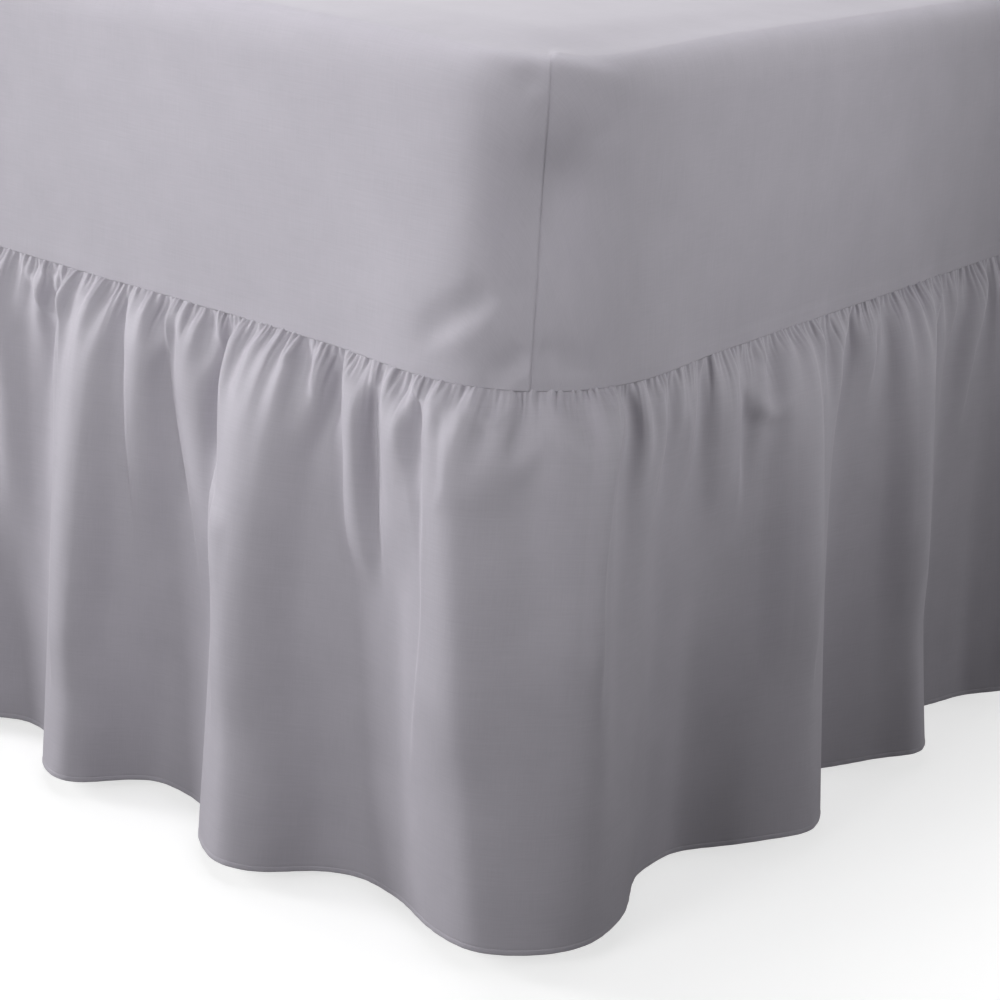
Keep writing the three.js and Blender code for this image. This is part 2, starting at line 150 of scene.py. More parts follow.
def seam_of(x, y):
    """For points near the seam line in plan: place along it, distance out, outward direction."""
    x, y = x - MID_X, y - MID_Y
    ix, iy = HALF_X - SEAM_R, HALF_Y - SEAM_R
    dx, dy = x - np.clip(x, -ix, ix), y - np.clip(y, -iy, iy)
    dist = np.maximum(np.sqrt(dx * dx + dy * dy), 1e-9)
    nx, ny = dx / dist, dy / dist
    ang = np.arctan2(ny, nx)
    s = np.select(
        [(dx > 0) & (dy < 0), (dx > 0) & (dy == 0), (dx > 0) & (dy > 0), (dx == 0) & (dy > 0),
         (dx < 0) & (dy > 0), (dx < 0) & (dy == 0), (dx < 0) & (dy < 0)],
        [-ARC / 2 + SEAM_R * (ang + math.pi / 2),
         ARC / 2 + y + iy,
         ARC / 2 + RUN_Y + SEAM_R * ang,
         1.5 * ARC + RUN_Y + ix - x,
         1.5 * ARC + RUN_Y + RUN_X + SEAM_R * (ang - math.pi / 2),
         2.5 * ARC + RUN_Y + RUN_X + iy - y,
         2.5 * ARC + 2 * RUN_Y + RUN_X + SEAM_R * (ang + math.pi)],
        3.5 * ARC + 2 * RUN_Y + RUN_X + x + ix)
    return s, dist - SEAM_R, nx, ny


def edge_sag(x, y):
    """How far the top sinks towards its edge, most of all at the corners."""
    s, out, _, _ = seam_of(x, y)
    more = sum(np.exp(-(nearest(s - c) / (110 * MM)) ** 2) for c in CORNER_S)
    return (3.5 + 5.0 * more) * MM * (1 - smooth(8 * MM, 88 * MM, -out))


# ------------------------------------------------------------------ folds, as in the part
def all_folds():
    rand = randoms(SEED)
    around = AROUND / MM
    rows = [list(r) for r in NEAR_FOLDS]
    stops = []
    for c in CORNER_S[1:]:
        for ds, out in CORNER_BULGE:
            stops.append([c / MM + ds, c / MM + ds * 0.92, out, False])
    for j in JOINS[2:]:
        stops.append([j, j, 4, False])
    stops.append([NEAR_FOLDS[0][0] + around, NEAR_FOLDS[0][1] + around, NEAR_FOLDS[0][2], True])
    stops.sort(key=lambda r: r[0])
    last = NEAR_FOLDS[-1][0]
    for stop in stops:
        if stop[0] - last > 0.5 * FOLD_PITCH:
            pairs = max(1, int(math.floor((stop[0] - last) / FOLD_PITCH + 0.5)))
            pitch = (stop[0] - last) / pairs
            for i in range(pairs):
                start = last + i * pitch
                crest = start + pitch * (0.42 + 0.2 * rand())
                rows.append([crest, crest + 44 * (rand() - 0.5), 58 + 14 * rand()])
                if i < pairs - 1:
                    valley = start + pitch * (0.96 + 0.1 * rand())
                    rows.append([valley, valley + 36 * (rand() - 0.5), 1 + 17 * rand()])
        if not stop[3]:
            rows.append(stop[:3])
        last = stop[0]
    return np.array(rows) * MM


def all_ridges():
    rand = randoms(SEED + 1)
    rows = [list(r) for r in NEAR_RIDGES]
    end = NEAR_FOLDS[0][0] + AROUND / MM
    s = JOINS[1] + 34
    while s < end - 34:
        if not any(abs(nearest((s - j) * MM)) < 26 * MM for j in JOINS):
            s1 = s + 46 * (rand() - 0.5)
            t1 = 0.22 + 0.5 * rand() * rand() + 0.12 * rand()
            wide = 16 + 6 * rand()
            rows.append([s, s1, t1, wide, 8 + 4 * rand()])
        s += RIDGE_PITCH * (0.72 + 0.56 * rand())
    return np.array(rows) * np.array([MM, MM, 1, MM, MM])


FOLDS = all_folds()
RIDGES = all_ridges()


def fold_out(s, t):
    """How far the folds stand out at places s: a smooth line through their crests, flanks and valleys."""
    pos = FOLDS[:, 1] + (FOLDS[:, 0] - FOLDS[:, 1]) * t ** 1.4
    n = len(pos)
    pos, out = np.append(pos, pos[0] + AROUND), np.append(FOLDS[:, 2], FOLDS[0, 2])
    gap = np.diff(pos)
    rise = np.diff(out) / gap
    before, wide = np.roll(rise, 1), np.roll(gap, 1)
    w1, w2 = 2 * gap + wide, gap + 2 * wide
    same = before * rise > 0
    slope = np.where(same, (w1 + w2) / (w1 / np.where(same, before, 1) + w2 / np.where(same, rise, 1)), 0.0)
    slope = np.append(slope, slope[0])
    u = np.mod(s - pos[0], AROUND) + pos[0]
    k = np.clip(np.searchsorted(pos, u) - 1, 0, n - 1)
    f = (u - pos[k]) / gap[k]
    round_line = (out[k] * (1 + 2 * f) * (1 - f) ** 2 + out[k + 1] * f * f * (3 - 2 * f)
                  + gap[k] * f * (1 - f) * (slope[k] * (1 - f) - slope[k + 1] * f))
    # round the near corner the flanks hang flatter lower down, with narrower crests
    near = nearest(s) / MM
    flat = 0.6 * smooth(.2, .7, t) * smooth(-620, -580, near) * (1 - smooth(620, 700, near))
    return round_line + flat * (out[k] + (out[k + 1] - out[k]) * f - round_line)


def corner_easing():
    """How far the cloth falls inside the seam's rounded rectangle by bridging its corners softly: a table along s."""
    n = 8192
    s = np.arange(n) / n * AROUND
    x, y, nx, ny = seam_at(s)
    z = x + 1j * y
    k = np.exp(-0.5 * (np.fft.fftfreq(n, d=AROUND / n) * 2 * math.pi * 32 * MM) ** 2)
    d = np.fft.ifft(np.fft.fft(z) * k) - z
    return np.append(s, AROUND), np.append(d.real * nx + d.imag * ny, d[0].real * nx[0] + d[0].imag * ny[0])


EASE_S, EASE = corner_easing()


def panel_out(s, h):
    total = np.interp(np.mod(s, AROUND), EASE_S, EASE) + 1.5 * MM
    for c in CORNER_S:
        ds = nearest(s - c)
        for d, hh, wide, tall, out in PANEL_SWELLS:
            total += out * MM * bell((ds - d * MM) / (wide * MM)) * bell((h - hh) / tall)
    return np.maximum(total, -8 * MM)


def frill_out(s, t):
    spread = 0.1 * smooth(0, 0.1, t) + 0.9 * t ** 1.05
    base = panel_out(s, np.ones_like(s)) * (1 - 0.6 * t)
    return base + PUFF * smooth(0, 0.08, t) * (1 - 0.75 * t) + fold_out(s, t) * spread


# ------------------------------------------------------------------ creases, listed one by one
# Soft leads for the settling, round the near corner: line (s in mm, t), height, steep and easy width, steep side,
# where it starts to fade.
LEADS = [
    ([(-521, 0), (-507, .28), (-506, .55), (-500, .82)], 7.2, 9, 22, -1, .6),
    ([(-424, 0), (-398, .1), (-394, .21), (-394, .35), (-394, .56), (-391, .77)], 8, 18, 26, -1, .5),
    ([(-364, 0), (-350, .086), (-349, .25), (-348, .41), (-345, .52)], 5.5, 11, 16, -1, .55),
    ([(-320, 0), (-308, .064), (-298, .164), (-278, .305), (-262, .45), (-252, .56)], 5.5, 13, 18, -1, .6),
    ([(-238, 0), (-222, .076), (-216, .134), (-214, .238), (-214, .435), (-210, .7)], 8.5, 25, 28, -1, .5),
    ([(-186, 0), (-177, .048), (-172, .12)], 3, 6, 9, -1, .5),
    ([(-147, 0), (-136, .072), (-138, .176), (-136, .295), (-130, .369), (-118, .433)], 5.5, 8, 12, -1, .7),
    ([(-116, 0), (-104, .05), (-94, .146), (-86, .261), (-78, .34)], 4.5, 10, 15, -1, .6),
    ([(-78, 0), (-62, .038), (-56, .07), (-50, .12), (-42, .297), (-36, .435), (-34, .56), (-36, .8)], 7, 14, 26, -1, .5),
    ([(50, 0), (38, .07), (36, .16), (34, .28), (34, .487), (37, .6), (44, .9)], 7, 8, 28, 1, .55),
    ([(182, 0), (174, .1), (177, .14), (187, .42)], 4, 13, 15, 1, .55),
    ([(218, 0), (215, .07), (223, .115), (244, .135), (264, .13)], 2, 8, 9, 1, .75),
    ([(296, 0), (268, .082), (268, .174), (266, .303), (265, .459), (263, .56), (262, .75)], 7.5, 16, 30, 1, .55),
    ([(408, 0), (388, .07), (384, .22)], 2, 8, 11, 1, .5),
    ([(484, 0), (458, .085), (456, .178), (455, .307), (450, .597), (453, .75)], 7.5, 16, 30, 1, .55),
    ([(600, 0), (577, .09), (560, .17), (556, .42)], 4, 9, 15, 1, .5),
    ([(668, 0), (660, .36)], 5.4, 9, 16, 1, .5),
    ([(-562, 0), (-552, .45)], 7.2, 9, 18, -1, .5),
]


def all_leads():
    """The near leads, and others like them where the part has its unseen ridges."""
    rng = np.random.default_rng(SEED + 3)
    rows = list(LEADS)
    for s0, s1, t1, wide, high in RIDGES[len(NEAR_RIDGES):]:
        a, b = s0 / MM, s1 / MM
        bow = 9 * (rng.random() - 0.5)
        rows.append(([(a, 0), (a + 0.45 * (b - a) + bow, 0.45 * t1), (b, t1)], (0.9 + 0.4 * rng.random()) * high / MM,
                     7 + 4 * rng.random(), 12 + 10 * rng.random(), 1 if rng.random() < 0.5 else -1, .5))
        if rng.random() < 0.7:
            c = a + (22 + 16 * rng.random()) * (1 if rng.random() < 0.5 else -1)
            rows.append(([(c, 0), (c + 16 * (rng.random() - 0.5), .06 + .12 * rng.random())], 5 + 3 * rng.random(),
                         5 + 2 * rng.random(), 7 + 4 * rng.random(), 1 if rng.random() < 0.5 else -1, .5))
    return rows


# Gathered folds round the near corner, as bands: left edge and right edge (s in mm, t), height, how wide the cloth
# rises to the left edge and falls from the right one, height at the left edge, hollow between them and where it ends.
BANDS = [
    ([(-523, 0), (-523, .011), (-515, .299), (-511, .649)],
     [(-516, 0), (-516, .007), (-506, .299), (-501, .634)], 4.5, 7, 28, 0.85, 0, 0.1, 0.5),
    ([(-452, 0), (-446, .029), (-438, .060), (-432, .101), (-427, .192), (-425, .253), (-421, .360), (-417, .482), (-414, .642), (-409, .848)],
     [(-410, 0), (-407, .016), (-399, .059), (-391, .131), (-389, .192), (-389, .253), (-389, .299), (-388, .375), (-388, .467), (-390, .558), (-393, .710)], 7.0, 5, 28, 0.85, 1.2, 0.22, 0.8),
    ([(-376, 0), (-374, .013), (-366, .060), (-358, .131), (-354, .207), (-352, .268), (-349, .345), (-347, .436), (-345, .528)],
     [(-357, 0), (-355, .011), (-345, .056), (-339, .116), (-336, .238), (-338, .360), (-340, .482)], 5.8, 5, 22, 0.85, 0.6, 0.12, 0.5),
    ([(-331, 0), (-330, .011), (-326, .058), (-320, .131), (-315, .191), (-309, .257), (-300, .360), (-293, .467), (-285, .586)],
     [(-314, 0), (-310, .009), (-297, .042), (-291, .116), (-287, .162), (-281, .223), (-265, .299), (-244, .360)], 6.2, 5, 22, 0.85, 1, 0.17, 0.55),
    ([(-269, 0), (-266, .030), (-264, .052), (-260, .096), (-256, .146), (-249, .238), (-242, .360), (-238, .467), (-236, .604), (-235, .763)],
     [(-221, 0), (-219, .020), (-216, .052), (-211, .116), (-208, .207), (-207, .299), (-208, .375), (-208, .436), (-206, .573), (-202, .756)], 7.0, 5, 36, 0.85, 0.9, 0.2, 0.8),
    ([(-154, 0), (-153, .013), (-146, .079), (-141, .162), (-139, .258), (-135, .330), (-128, .390), (-121, .439)],
     [(-144, 0), (-143, .013), (-137, .072), (-130, .177), (-126, .284), (-122, .360), (-117, .433)], 4.8, 6, 15, 0.85, 0, 0.1, 0.72),
    ([(-123, 0), (-122, .014), (-118, .061), (-113, .146), (-107, .268), (-103, .345), (-97, .415)],
     [(-112, 0), (-109, .013), (-101, .053), (-90, .116), (-77, .192), (-71, .253), (-65, .345)], 4.6, 7, 15, 0.85, 0, 0.1, 0.62),
    ([(-92, 0), (-86, .016), (-74, .046), (-69, .074), (-64, .131), (-60, .238), (-58, .375), (-58, .446), (-60, .558), (-65, .726)],
     [(-81, 0), (-75, .020), (-65, .048), (-60, .095), (-52, .177), (-46, .238), (-42, .299), (-39, .390), (-37, .528)], 5.4, 5, 46, 0.85, 0, 0.1, 0.75),
    ([(-63, 0), (-60, .018), (-53, .061), (-49, .109), (-48, .162), (-50, .192), (-53, .223)],
     [(-59, 0), (-56, .017), (-48, .057), (-42, .101), (-38, .146), (-37, .192), (-38, .223)], 2.4, 6, 16, 0.85, 0, 0.1, 0.75),
    ([(32, 0), (32, .001), (26, .081), (23, .177), (21, .345), (21, .528)],
     [(49, 0), (43, .078), (36, .162), (32, .284), (31, .345), (32, .482), (33, .588)], 5.4, 32, 5, 0.7, 0, 0.1, 0.75),
    ([(176, 0), (175, .021), (171, .079), (172, .177), (181, .331)],
     [(201, 0), (200, .022), (197, .094), (196, .192), (200, .345)], 3.6, 18, 9, 0.6, 0, 0.1, 0.6),
    ([(94, 0), (88, .039), (78, .081), (68, .146)],
     [(93, 0), (94, .034), (95, .090), (102, .192)], 1.4, 9, 6, 0.7, 0, 0.1, 0.6),
    ([(265, 0), (263, .014), (257, .069), (252, .162), (250, .314), (249, .512), (248, .710)],
     [(316, 0), (314, .012), (301, .089), (292, .177), (285, .299), (282, .447), (278, .572), (273, .726)], 5, 28, 6, 0.6, 0, 0.1, 0.75),
    ([(448, 0), (447, .014), (443, .065), (441, .116), (438, .284), (436, .528), (437, .728)],
     [(516, 0), (512, .015), (492, .099), (478, .192), (473, .299), (470, .573), (470, .756)], 5, 28, 6, 0.6, 0, 0.1, 0.75),
]
# Smaller creases: line (s in mm, t), height, steep and easy width, steep side, where it starts to fade.
CREASES = [
    ([(-498, 0), (-458, .106), (-438, .14)], 3.4, 3.5, 6, -1, .6),
    ([(-476, 0), (-442, .064), (-432, .10)], 3.2, 3.5, 6, -1, .6),
    ([(-281, 0), (-272, .05), (-271, .07)], 4, 3.5, 5, -1, .5),
    ([(-208, 0), (-201, .06)], 4, 3.5, 6, -1, .5),
    ([(-186, 0), (-177, .048), (-172, .12)], 4.5, 4, 8, -1, .5),
    ([(-42, 0), (-39, .04), (-30, .055), (-24, .03), (-22, 0)], 3, 4, 5, -1, .9),
    ([(-5, 0), (-8, .032), (-12, .078), (-18, .122), (-27, .155)], 1.8, 4.2, 4.6, -1, .6),
    ([(3, 0), (6, .05), (13, .09), (22, .112), (31, .108)], 2.2, 9, 4.5, 1, .8),
    ([(9, 0), (12, .05), (19, .085)], 1.6, 5, 5, 1, .5),
    ([(104, 0), (89, .04), (85, .08)], 3, 4, 7, 1, .5),
    ([(134, 0), (128, .07), (132, .17)], 3, 5, 9, 1, .5),
    ([(213, 0), (206, .07), (212, .12), (232, .142), (256, .13)], 3.4, 7, 5, 1, .8),
    ([(236, 0), (228, .06)], 3, 5, 6, 1, .5),
    ([(368, 0), (334, .08), (330, .2)], 3, 5, 8, 1, .5),
    ([(408, 0), (388, .07), (384, .22)], 3, 5, 9, 1, .5),
    ([(546, 0), (532, .12)], 3, 5, 8, 1, .5),
    ([(600, 0), (577, .09), (560, .17), (556, .42)], 4, 7, 15, 1, .5),
]


def all_gathers():
    """The near bands and creases, and others like them where the part has its unseen ridges."""
    rng = np.random.default_rng(SEED + 3)
    bands, rows = list(BANDS), list(CREASES)
    for s0, s1, t1, wide, high in RIDGES[len(NEAR_RIDGES):]:
        a, b = s0 / MM, s1 / MM
        bow = 9 * (rng.random() - 0.5)
        side = 1 if rng.random() < 0.5 else -1
        if rng.random() < 0.6:
            w = 9 + 20 * rng.random() ** 2
            m = a + 0.45 * (b - a) + bow
            steep, easy = 7 + 2 * rng.random(), 18 + 14 * rng.random()
            bands.append(([(a - w / 2, 0), (m - 0.55 * w, .45 * t1), (b - 0.4 * w, t1)],
                          [(a + w / 2, 0), (m + 0.55 * w, .45 * t1), (b + 0.4 * w, t1)], (0.45 + 0.2 * rng.random()) * high / MM,
                          steep if side < 0 else easy, easy if side < 0 else steep, .7, 1.2 * rng.random(), .5 * t1, .5))
        else:
            rows.append(([(a, 0), (a + 0.45 * (b - a) + bow, 0.45 * t1), (b, t1)],
                         (0.35 + 0.2 * rng.random()) * high / MM, 5 + 3 * rng.random(), 10 + 8 * rng.random(), side, .5))
    return bands, rows


def line_height(S, D, line, high, steep, easy, side, fade, start=0.0):
    """A soft ridge, or a trough where high is below 0, along a line of places: all in mm."""
    P = np.array(line, float)
    best = np.full(S.shape, 1e9)
    along = np.zeros(S.shape)
    sign = np.ones(S.shape)
    run = np.append(0, np.cumsum(np.hypot(*np.diff(P, axis=0).T)))
    for k in range(len(P) - 1):
        d = P[k + 1] - P[k]
        L2 = d @ d
        f = np.clip(((S - P[k, 0]) * d[0] + (D - P[k, 1]) * d[1]) / L2, 0, 1)
        ex, ey = S - P[k, 0] - f * d[0], D - P[k, 1] - f * d[1]
        r = np.hypot(ex, ey)
        m = r < best
        best[m] = r[m]
        along[m] = ((run[k] + f * math.sqrt(L2)) / run[-1])[m]
        sign[m] = np.sign(ex * d[1] - ey * d[0] + 1e-12)[m]
    tip = 1 - smooth(fade, 1.0, along)
    if start > 0:
        tip = tip * smooth(0, start, along)
    return high * bell(best / np.where(sign == side, steep, easy)) * tip


def add_lines(table, depth, step, rows, top):
    n = table.shape[1]
    for line, high, steep, easy, side, fade in rows:
        P = [(s, t * DROP / MM) for s, t in line]
        reach = 2.2 * max(steep, easy)
        low, far, deep = min(p[0] for p in P), max(p[0] for p in P), max(p[1] for p in P)
        j0, j1 = int(math.floor((low - reach) * MM / step)), int(math.ceil((far + reach) * MM / step))
        here = np.nonzero((depth >= -1e-6) & (depth <= deep + reach))[0]
        cols = np.arange(j0, j1 + 1)
        S, D = np.meshgrid(cols * step / MM, depth[here])
        h = line_height(S, D, P, high, steep, easy, side, fade) * (0.3 + 0.7 * smooth(0, top, D))
        table[np.ix_(here, cols % n)] += h * MM


def lead_table(drops, n):
    """What the leads add to the guide, on its table."""
    table = np.zeros((len(drops), n))
    step = AROUND / n
    depth = (drops - TUCK) / MM
    add_lines(table, depth, step, all_leads(), 22)
    return table


def gather_table(drops, n):
    """How far the bands and creases stand out from the settled cloth, on a table: rows, places along the seam."""
    table = np.zeros((len(drops), n))
    step = AROUND / n
    depth = (drops - TUCK) / MM
    bands, rows = all_gathers()
    for left, right, high, rise, fall, start, hollow, until, fade in bands:
        L, R = np.array(left), np.array(right)
        deep = max(L[-1, 1], R[-1, 1])
        j0 = int(math.floor((L[:, 0].min() - rise - 2) * MM / step))
        j1 = int(math.ceil((R[:, 0].max() + fall + 2) * MM / step))
        cols = np.arange(j0, j1 + 1)
        s = cols * step / MM
        for i, d in enumerate(depth):
            t = d * MM / DROP
            if t < -1e-6 or t > deep:
                continue
            a, b = np.interp(t, L[:, 1], L[:, 0]), np.interp(t, R[:, 1], R[:, 0])
            k = np.clip((s - a) / (b - a), 0, 1)
            h = smooth(-rise, 0, s - a) * (1 - smooth(0, fall, s - b))
            h = h * (high * (start + (1 - start) * np.sin(k * math.pi / 2)))
            h -= hollow * np.sin(k * math.pi) ** 2 * (1 - smooth(0.6 * until, until, t))
            table[i, cols % n] += h * float(1 - smooth(fade * deep, deep, t)) * float(0.3 + 0.7 * smooth(0, 20, d)) * MM
    add_lines(table, depth, step, rows, 20)
    return table


# ------------------------------------------------------------------ the gathered frill
LOOSE = (0.02, 0.08)        # cloth to spare: nearly down to the hem, and just under the seam
CALM = 0.9                  # how much less of it there is along the near long side


def cloth_share(even):
    """How the cloth is shared out: for places along the cloth, the seam place it is gathered to and the
    hem place it hangs to. Between two folds there is as much cloth as their hem needs."""
    n = 16384
    s = np.arange(n + 1) / n * AROUND + FOLDS[0, 0]
    x, y, nx, ny = seam_at(s)
    out = frill_out(s, 1.0)
    px, py = x + nx * out, y + ny * out
    run = np.append(0, np.cumsum(np.hypot(np.diff(px), np.diff(py))))
    hem = np.append(FOLDS[:, 0], FOLDS[0, 0] + AROUND)
    top = np.append(FOLDS[:, 1], FOLDS[0, 1] + AROUND)
    u = np.interp(hem, s, run)
    m = 4096
    uu = np.arange(m) / m * u[-1]
    level = uu * AROUND / u[-1]
    ss = np.interp(uu, u, top) - level
    mean = np.mean((top - u * AROUND / u[-1])[:17])
    k = np.exp(-0.5 * (np.fft.fftfreq(m, d=u[-1] / m) * 2 * math.pi * 0.022) ** 2)
    ss = np.fft.ifft(np.fft.fft(ss) * k).real
    ss = mean * even + ss * (1 - even) + level
    hh = np.interp(uu, run, s)
    return np.append(uu, u[-1]), np.append(ss, ss[0] + AROUND), np.append(hh, hh[0] + AROUND), u[-1]


class Frill:
    """The whole frill as a grid of points: rows down the cloth, columns round it."""

    def __init__(self):
        rng = np.random.default_rng(SEED)
        self.k_u, self.k_s, self.k_h, self.length = cloth_share(0.8)
        # gathers, uneven in pitch and in height
        steps, total = [], 0.0
        while total < self.length:
            step = (8 + 15 * rng.random() ** 1.5) * MM
            steps.append(step)
            total += step
        self.g_u = np.append(0, np.cumsum(steps)) * self.length / total
        self.g_phase = 2 * math.pi * np.arange(len(self.g_u))
        size = np.append(steps, steps[0]) / MM
        self.g_amp = 0.13 * size * (0.5 + 0.7 * rng.random(len(size))) * MM
        self.g_amp[-1] = self.g_amp[0]

    def places(self, u, t):
        """Where cloth at u belongs along the seam line at depth t."""
        s_top = np.interp(u, self.k_u, self.k_s)
        return s_top + (np.interp(u, self.k_u, self.k_h) - s_top) * t ** 1.4

    def start(self, cols, drops):
        u = (np.arange(cols) + 0.5) / cols * self.length
        gather = np.interp(u, self.g_u, self.g_amp) * np.sin(np.interp(u, self.g_u, self.g_phase))
        X = np.zeros((3, len(drops), cols))
        for i, d in enumerate(drops):
            t = max(0.0, (d - TUCK) / DROP)
            s = self.places(u, t)
            x, y, nx, ny = seam_at(s)
            if i < 2:
                out = panel_out(s, np.ones_like(s)) + (-3.4 if i == 0 else -1.5) * MM + (0.3 if i == 0 else 0.55) * gather
            else:
                out = frill_out(s, t) + gather * (1 - smooth(0.02, 0.25, t))
            X[0, i] = x + nx * out
            X[1, i] = y + ny * out
            X[2, i] = SEAM_Z + TUCK - d + (out * out / (2 * DROP) * t if i > 1 else 0)
        return X

    def rest(self, cols, drops, guide):
        """Cloth from column to column in each row: what the guide's folds there need, and some more."""
        u = (np.arange(cols) + 0.5) / cols * self.length
        n = guide.shape[1]
        table_s = np.arange(n + 1) / n * AROUND
        x, y, nx, ny = seam_at(table_s)
        f = np.fft.rfftfreq(cols, d=self.length / cols)
        blur = np.exp(-0.5 * (f * 2 * math.pi * 0.030) ** 2)
        rest = np.zeros((len(drops), cols))
        for i, d in enumerate(drops):
            t = max(0.0, (d - TUCK) / DROP)
            s = self.places(u, t)
            g = np.append(guide[i], guide[i, 0])
            px, py = x + nx * g, y + ny * g
            run = np.append(0, np.cumsum(np.hypot(np.diff(px), np.diff(py))))
            turns = np.floor(s / AROUND)
            along = np.interp(s - turns * AROUND, table_s, run) + turns * run[-1]
            step = np.append(np.diff(along), along[0] + run[-1] - along[-1])
            bend = sum(np.exp(-(nearest(s - c) / (52 * MM)) ** 2) for c in CORNER_S)
            near = nearest(s) / MM
            calm = 1 - CALM * smooth(40, 110, near) * (1 - smooth(690, 760, near))
            more = LOOSE[0] * (1 - smooth(.35, .95, t)) * calm + LOOSE[1] * (1 - smooth(.02, .30, t)) * (0.55 + 0.45 * calm)
            rest[i] = np.fft.irfft(np.fft.rfft(step) * blur, n=cols) * (1 + more * (1 - 0.8 * bend))
        return rest

    def guide(self, drops):
        """Where the cloth should stand out, on an even table along the seam for each row."""
        s = np.arange(4000) / 4000 * AROUND
        plain = np.stack([frill_out(s, max(0.0, (d - TUCK) / DROP)) for d in drops])
        return plain + lead_table(drops, 4000)


def aimed(d, rest):
    d *= rest / np.maximum(np.sqrt(d[0] * d[0] + d[1] * d[1] + d[2] * d[2]), 1e-9)
    return d


def settle(X, drops, length, rest, guide, lead, steps, bend=5e-6):
    """Lets the cloth hang: threads that hardly stretch both ways, easy shear, a little stiffness, its weight.
    Each step aims every thread at its own length, then finds the points that suit all of them best;
    the rows are alike all the way round, so this is done one wave number at a time. lead(t) says how
    firmly a row is led towards the guide's folds."""
    stretch, shear, weight, momentum, still = 60.0, 10.0, 0.12, 0.85, 0.05 ** -2
    _, rows, cols = X.shape
    a = length / cols
    b = np.diff(drops)
    tall = np.append(0, b) / 2 + np.append(b, 0) / 2
    th = 2 * math.pi * np.arange(cols // 2 + 1) / cols
    c1 = 2 - 2 * np.cos(th)
    wh, wv, wd = stretch * tall / a, stretch * a / b, shear * a * b / (a * a + b * b)
    mass = weight * a * tall
    t = np.clip((drops - TUCK) / DROP, 0, 1)
    led = np.array([lead(float(v)) for v in t]) * a * tall
    along = bend * np.where(drops > drops[-1] - HEM - 1e-6, 8.0, 1.0)
    A = np.zeros((len(th), rows, rows))
    r = np.arange(rows)
    A[:, r, r] += wh * c1[:, None] + (along * tall / a ** 3) * (c1 ** 2)[:, None] + led + mass * still
    for i in range(rows - 1):
        tw = bend / (a * b[i])
        for k in (i, i + 1):
            A[:, k, k] += wv[i] + 2 * wd[i] + tw * c1
        off = wv[i] + 2 * wd[i] * np.cos(th) + tw * c1
        A[:, i, i + 1] -= off
        A[:, i + 1, i] -= off
    for i in range(1, rows - 1):
        g = np.array([1 / b[i - 1], -1 / b[i - 1] - 1 / b[i], 1 / b[i]])
        A[:, i - 1:i + 2, i - 1:i + 2] += bend * a / tall[i] * np.outer(g, g)
    solve = np.linalg.inv(A[:, 2:, 2:])
    held = np.einsum("kij,cjk->cik", A[:, 2:, :2], np.fft.rfft(X[:, :2], axis=2))
    del A
    mean = (rest[1:] + rest[:-1]) / 2
    slant = np.sqrt(mean * mean + (b * b)[:, None])
    slants = {1: slant, -1: np.roll(slant, 1, axis=1)}
    n_table = guide.shape[1]
    flat_guide = guide.ravel()
    row_id = (np.arange(2, rows) * n_table)[:, None]
    q, before = X.copy(), X.copy()
    for step in range(steps):
        R = np.zeros_like(q)
        p = aimed(np.roll(q, -1, axis=2) - q, rest) * wh[:, None]
        R += np.roll(p, 1, axis=2) - p
        p = aimed(q[:, 1:] - q[:, :-1], b[:, None]) * wv[:, None]
        R[:, 1:] += p
        R[:, :-1] -= p
        for side in (1, -1):
            p = aimed(np.roll(q[:, 1:], -side, axis=2) - q[:, :-1], slants[side]) * wd[:, None]
            R[:, :-1] -= p
            R[:, 1:] += np.roll(p, side, axis=2)
        R[2] -= (mass * 9.81)[:, None]
        s, out, nx, ny = seam_of(q[0, 2:], q[1, 2:])
        k = np.mod(s, AROUND) * (n_table / AROUND)
        i0 = k.astype(np.int64)
        fr = k - i0
        i0 %= n_table
        i1 = (i0 + 1) % n_table
        move = flat_guide[row_id + i0] * (1 - fr) + flat_guide[row_id + i1] * fr - out
        aim = q[:, 2:].copy()
        aim[0] += nx * move
        aim[1] += ny * move
        R[:, 2:] += aim * led[2:, None] + q[:, 2:] * (mass[2:, None] * still)
        H = np.ascontiguousarray((np.fft.rfft(R[:, 2:], axis=2) - held).transpose(2, 1, 0))
        Z = np.ascontiguousarray(solve @ H.view(float).reshape(len(th), rows - 2, 6))
        new = q.copy()
        new[:, 2:] = np.fft.irfft(Z.view(complex).transpose(2, 1, 0), n=cols, axis=2)
        if step > 3:
            new[:, 2:] += momentum * (q[:, 2:] - before[:, 2:])
        # kept off the bed
        s, out, nx, ny = seam_of(new[0, 2:], new[1, 2:])
        push = np.maximum(-8 * MM - out, 0)
        new[0, 2:] += nx * push
        new[1, 2:] += ny * push
        before, q = q, new
    return q


def resample(X, old_drops, cols, drops):
    """The same shape on another grid, by smooth interpolation."""
    Y = X
    if cols != X.shape[2]:
        n = X.shape[2]
        p = (np.arange(cols) + 0.5) / cols * n - 0.5
        i = np.floor(p).astype(int)
        f = p - i
        a, b, c, d = (X[:, :, (i + k) % n] for k in (-1, 0, 1, 2))
        Y = b + 0.5 * f * (c - a + f * (2 * a - 5 * b + 4 * c - d + f * (3 * (b - c) + d - a)))
    m = np.gradient(Y, old_drops, axis=1)
    k = np.clip(np.searchsorted(old_drops, drops, side="right") - 1, 0, len(old_drops) - 2)
    w = old_drops[k + 1] - old_drops[k]
    g = ((drops - old_drops[k]) / w)[:, None]
    w = w[:, None]
    return ((2 * g**3 - 3 * g**2 + 1) * Y[:, k] + (g**3 - 2 * g**2 + g) * w * m[:, k]
            + (-2 * g**3 + 3 * g**2) * Y[:, k + 1] + (g**3 - g**2) * w * m[:, k + 1])


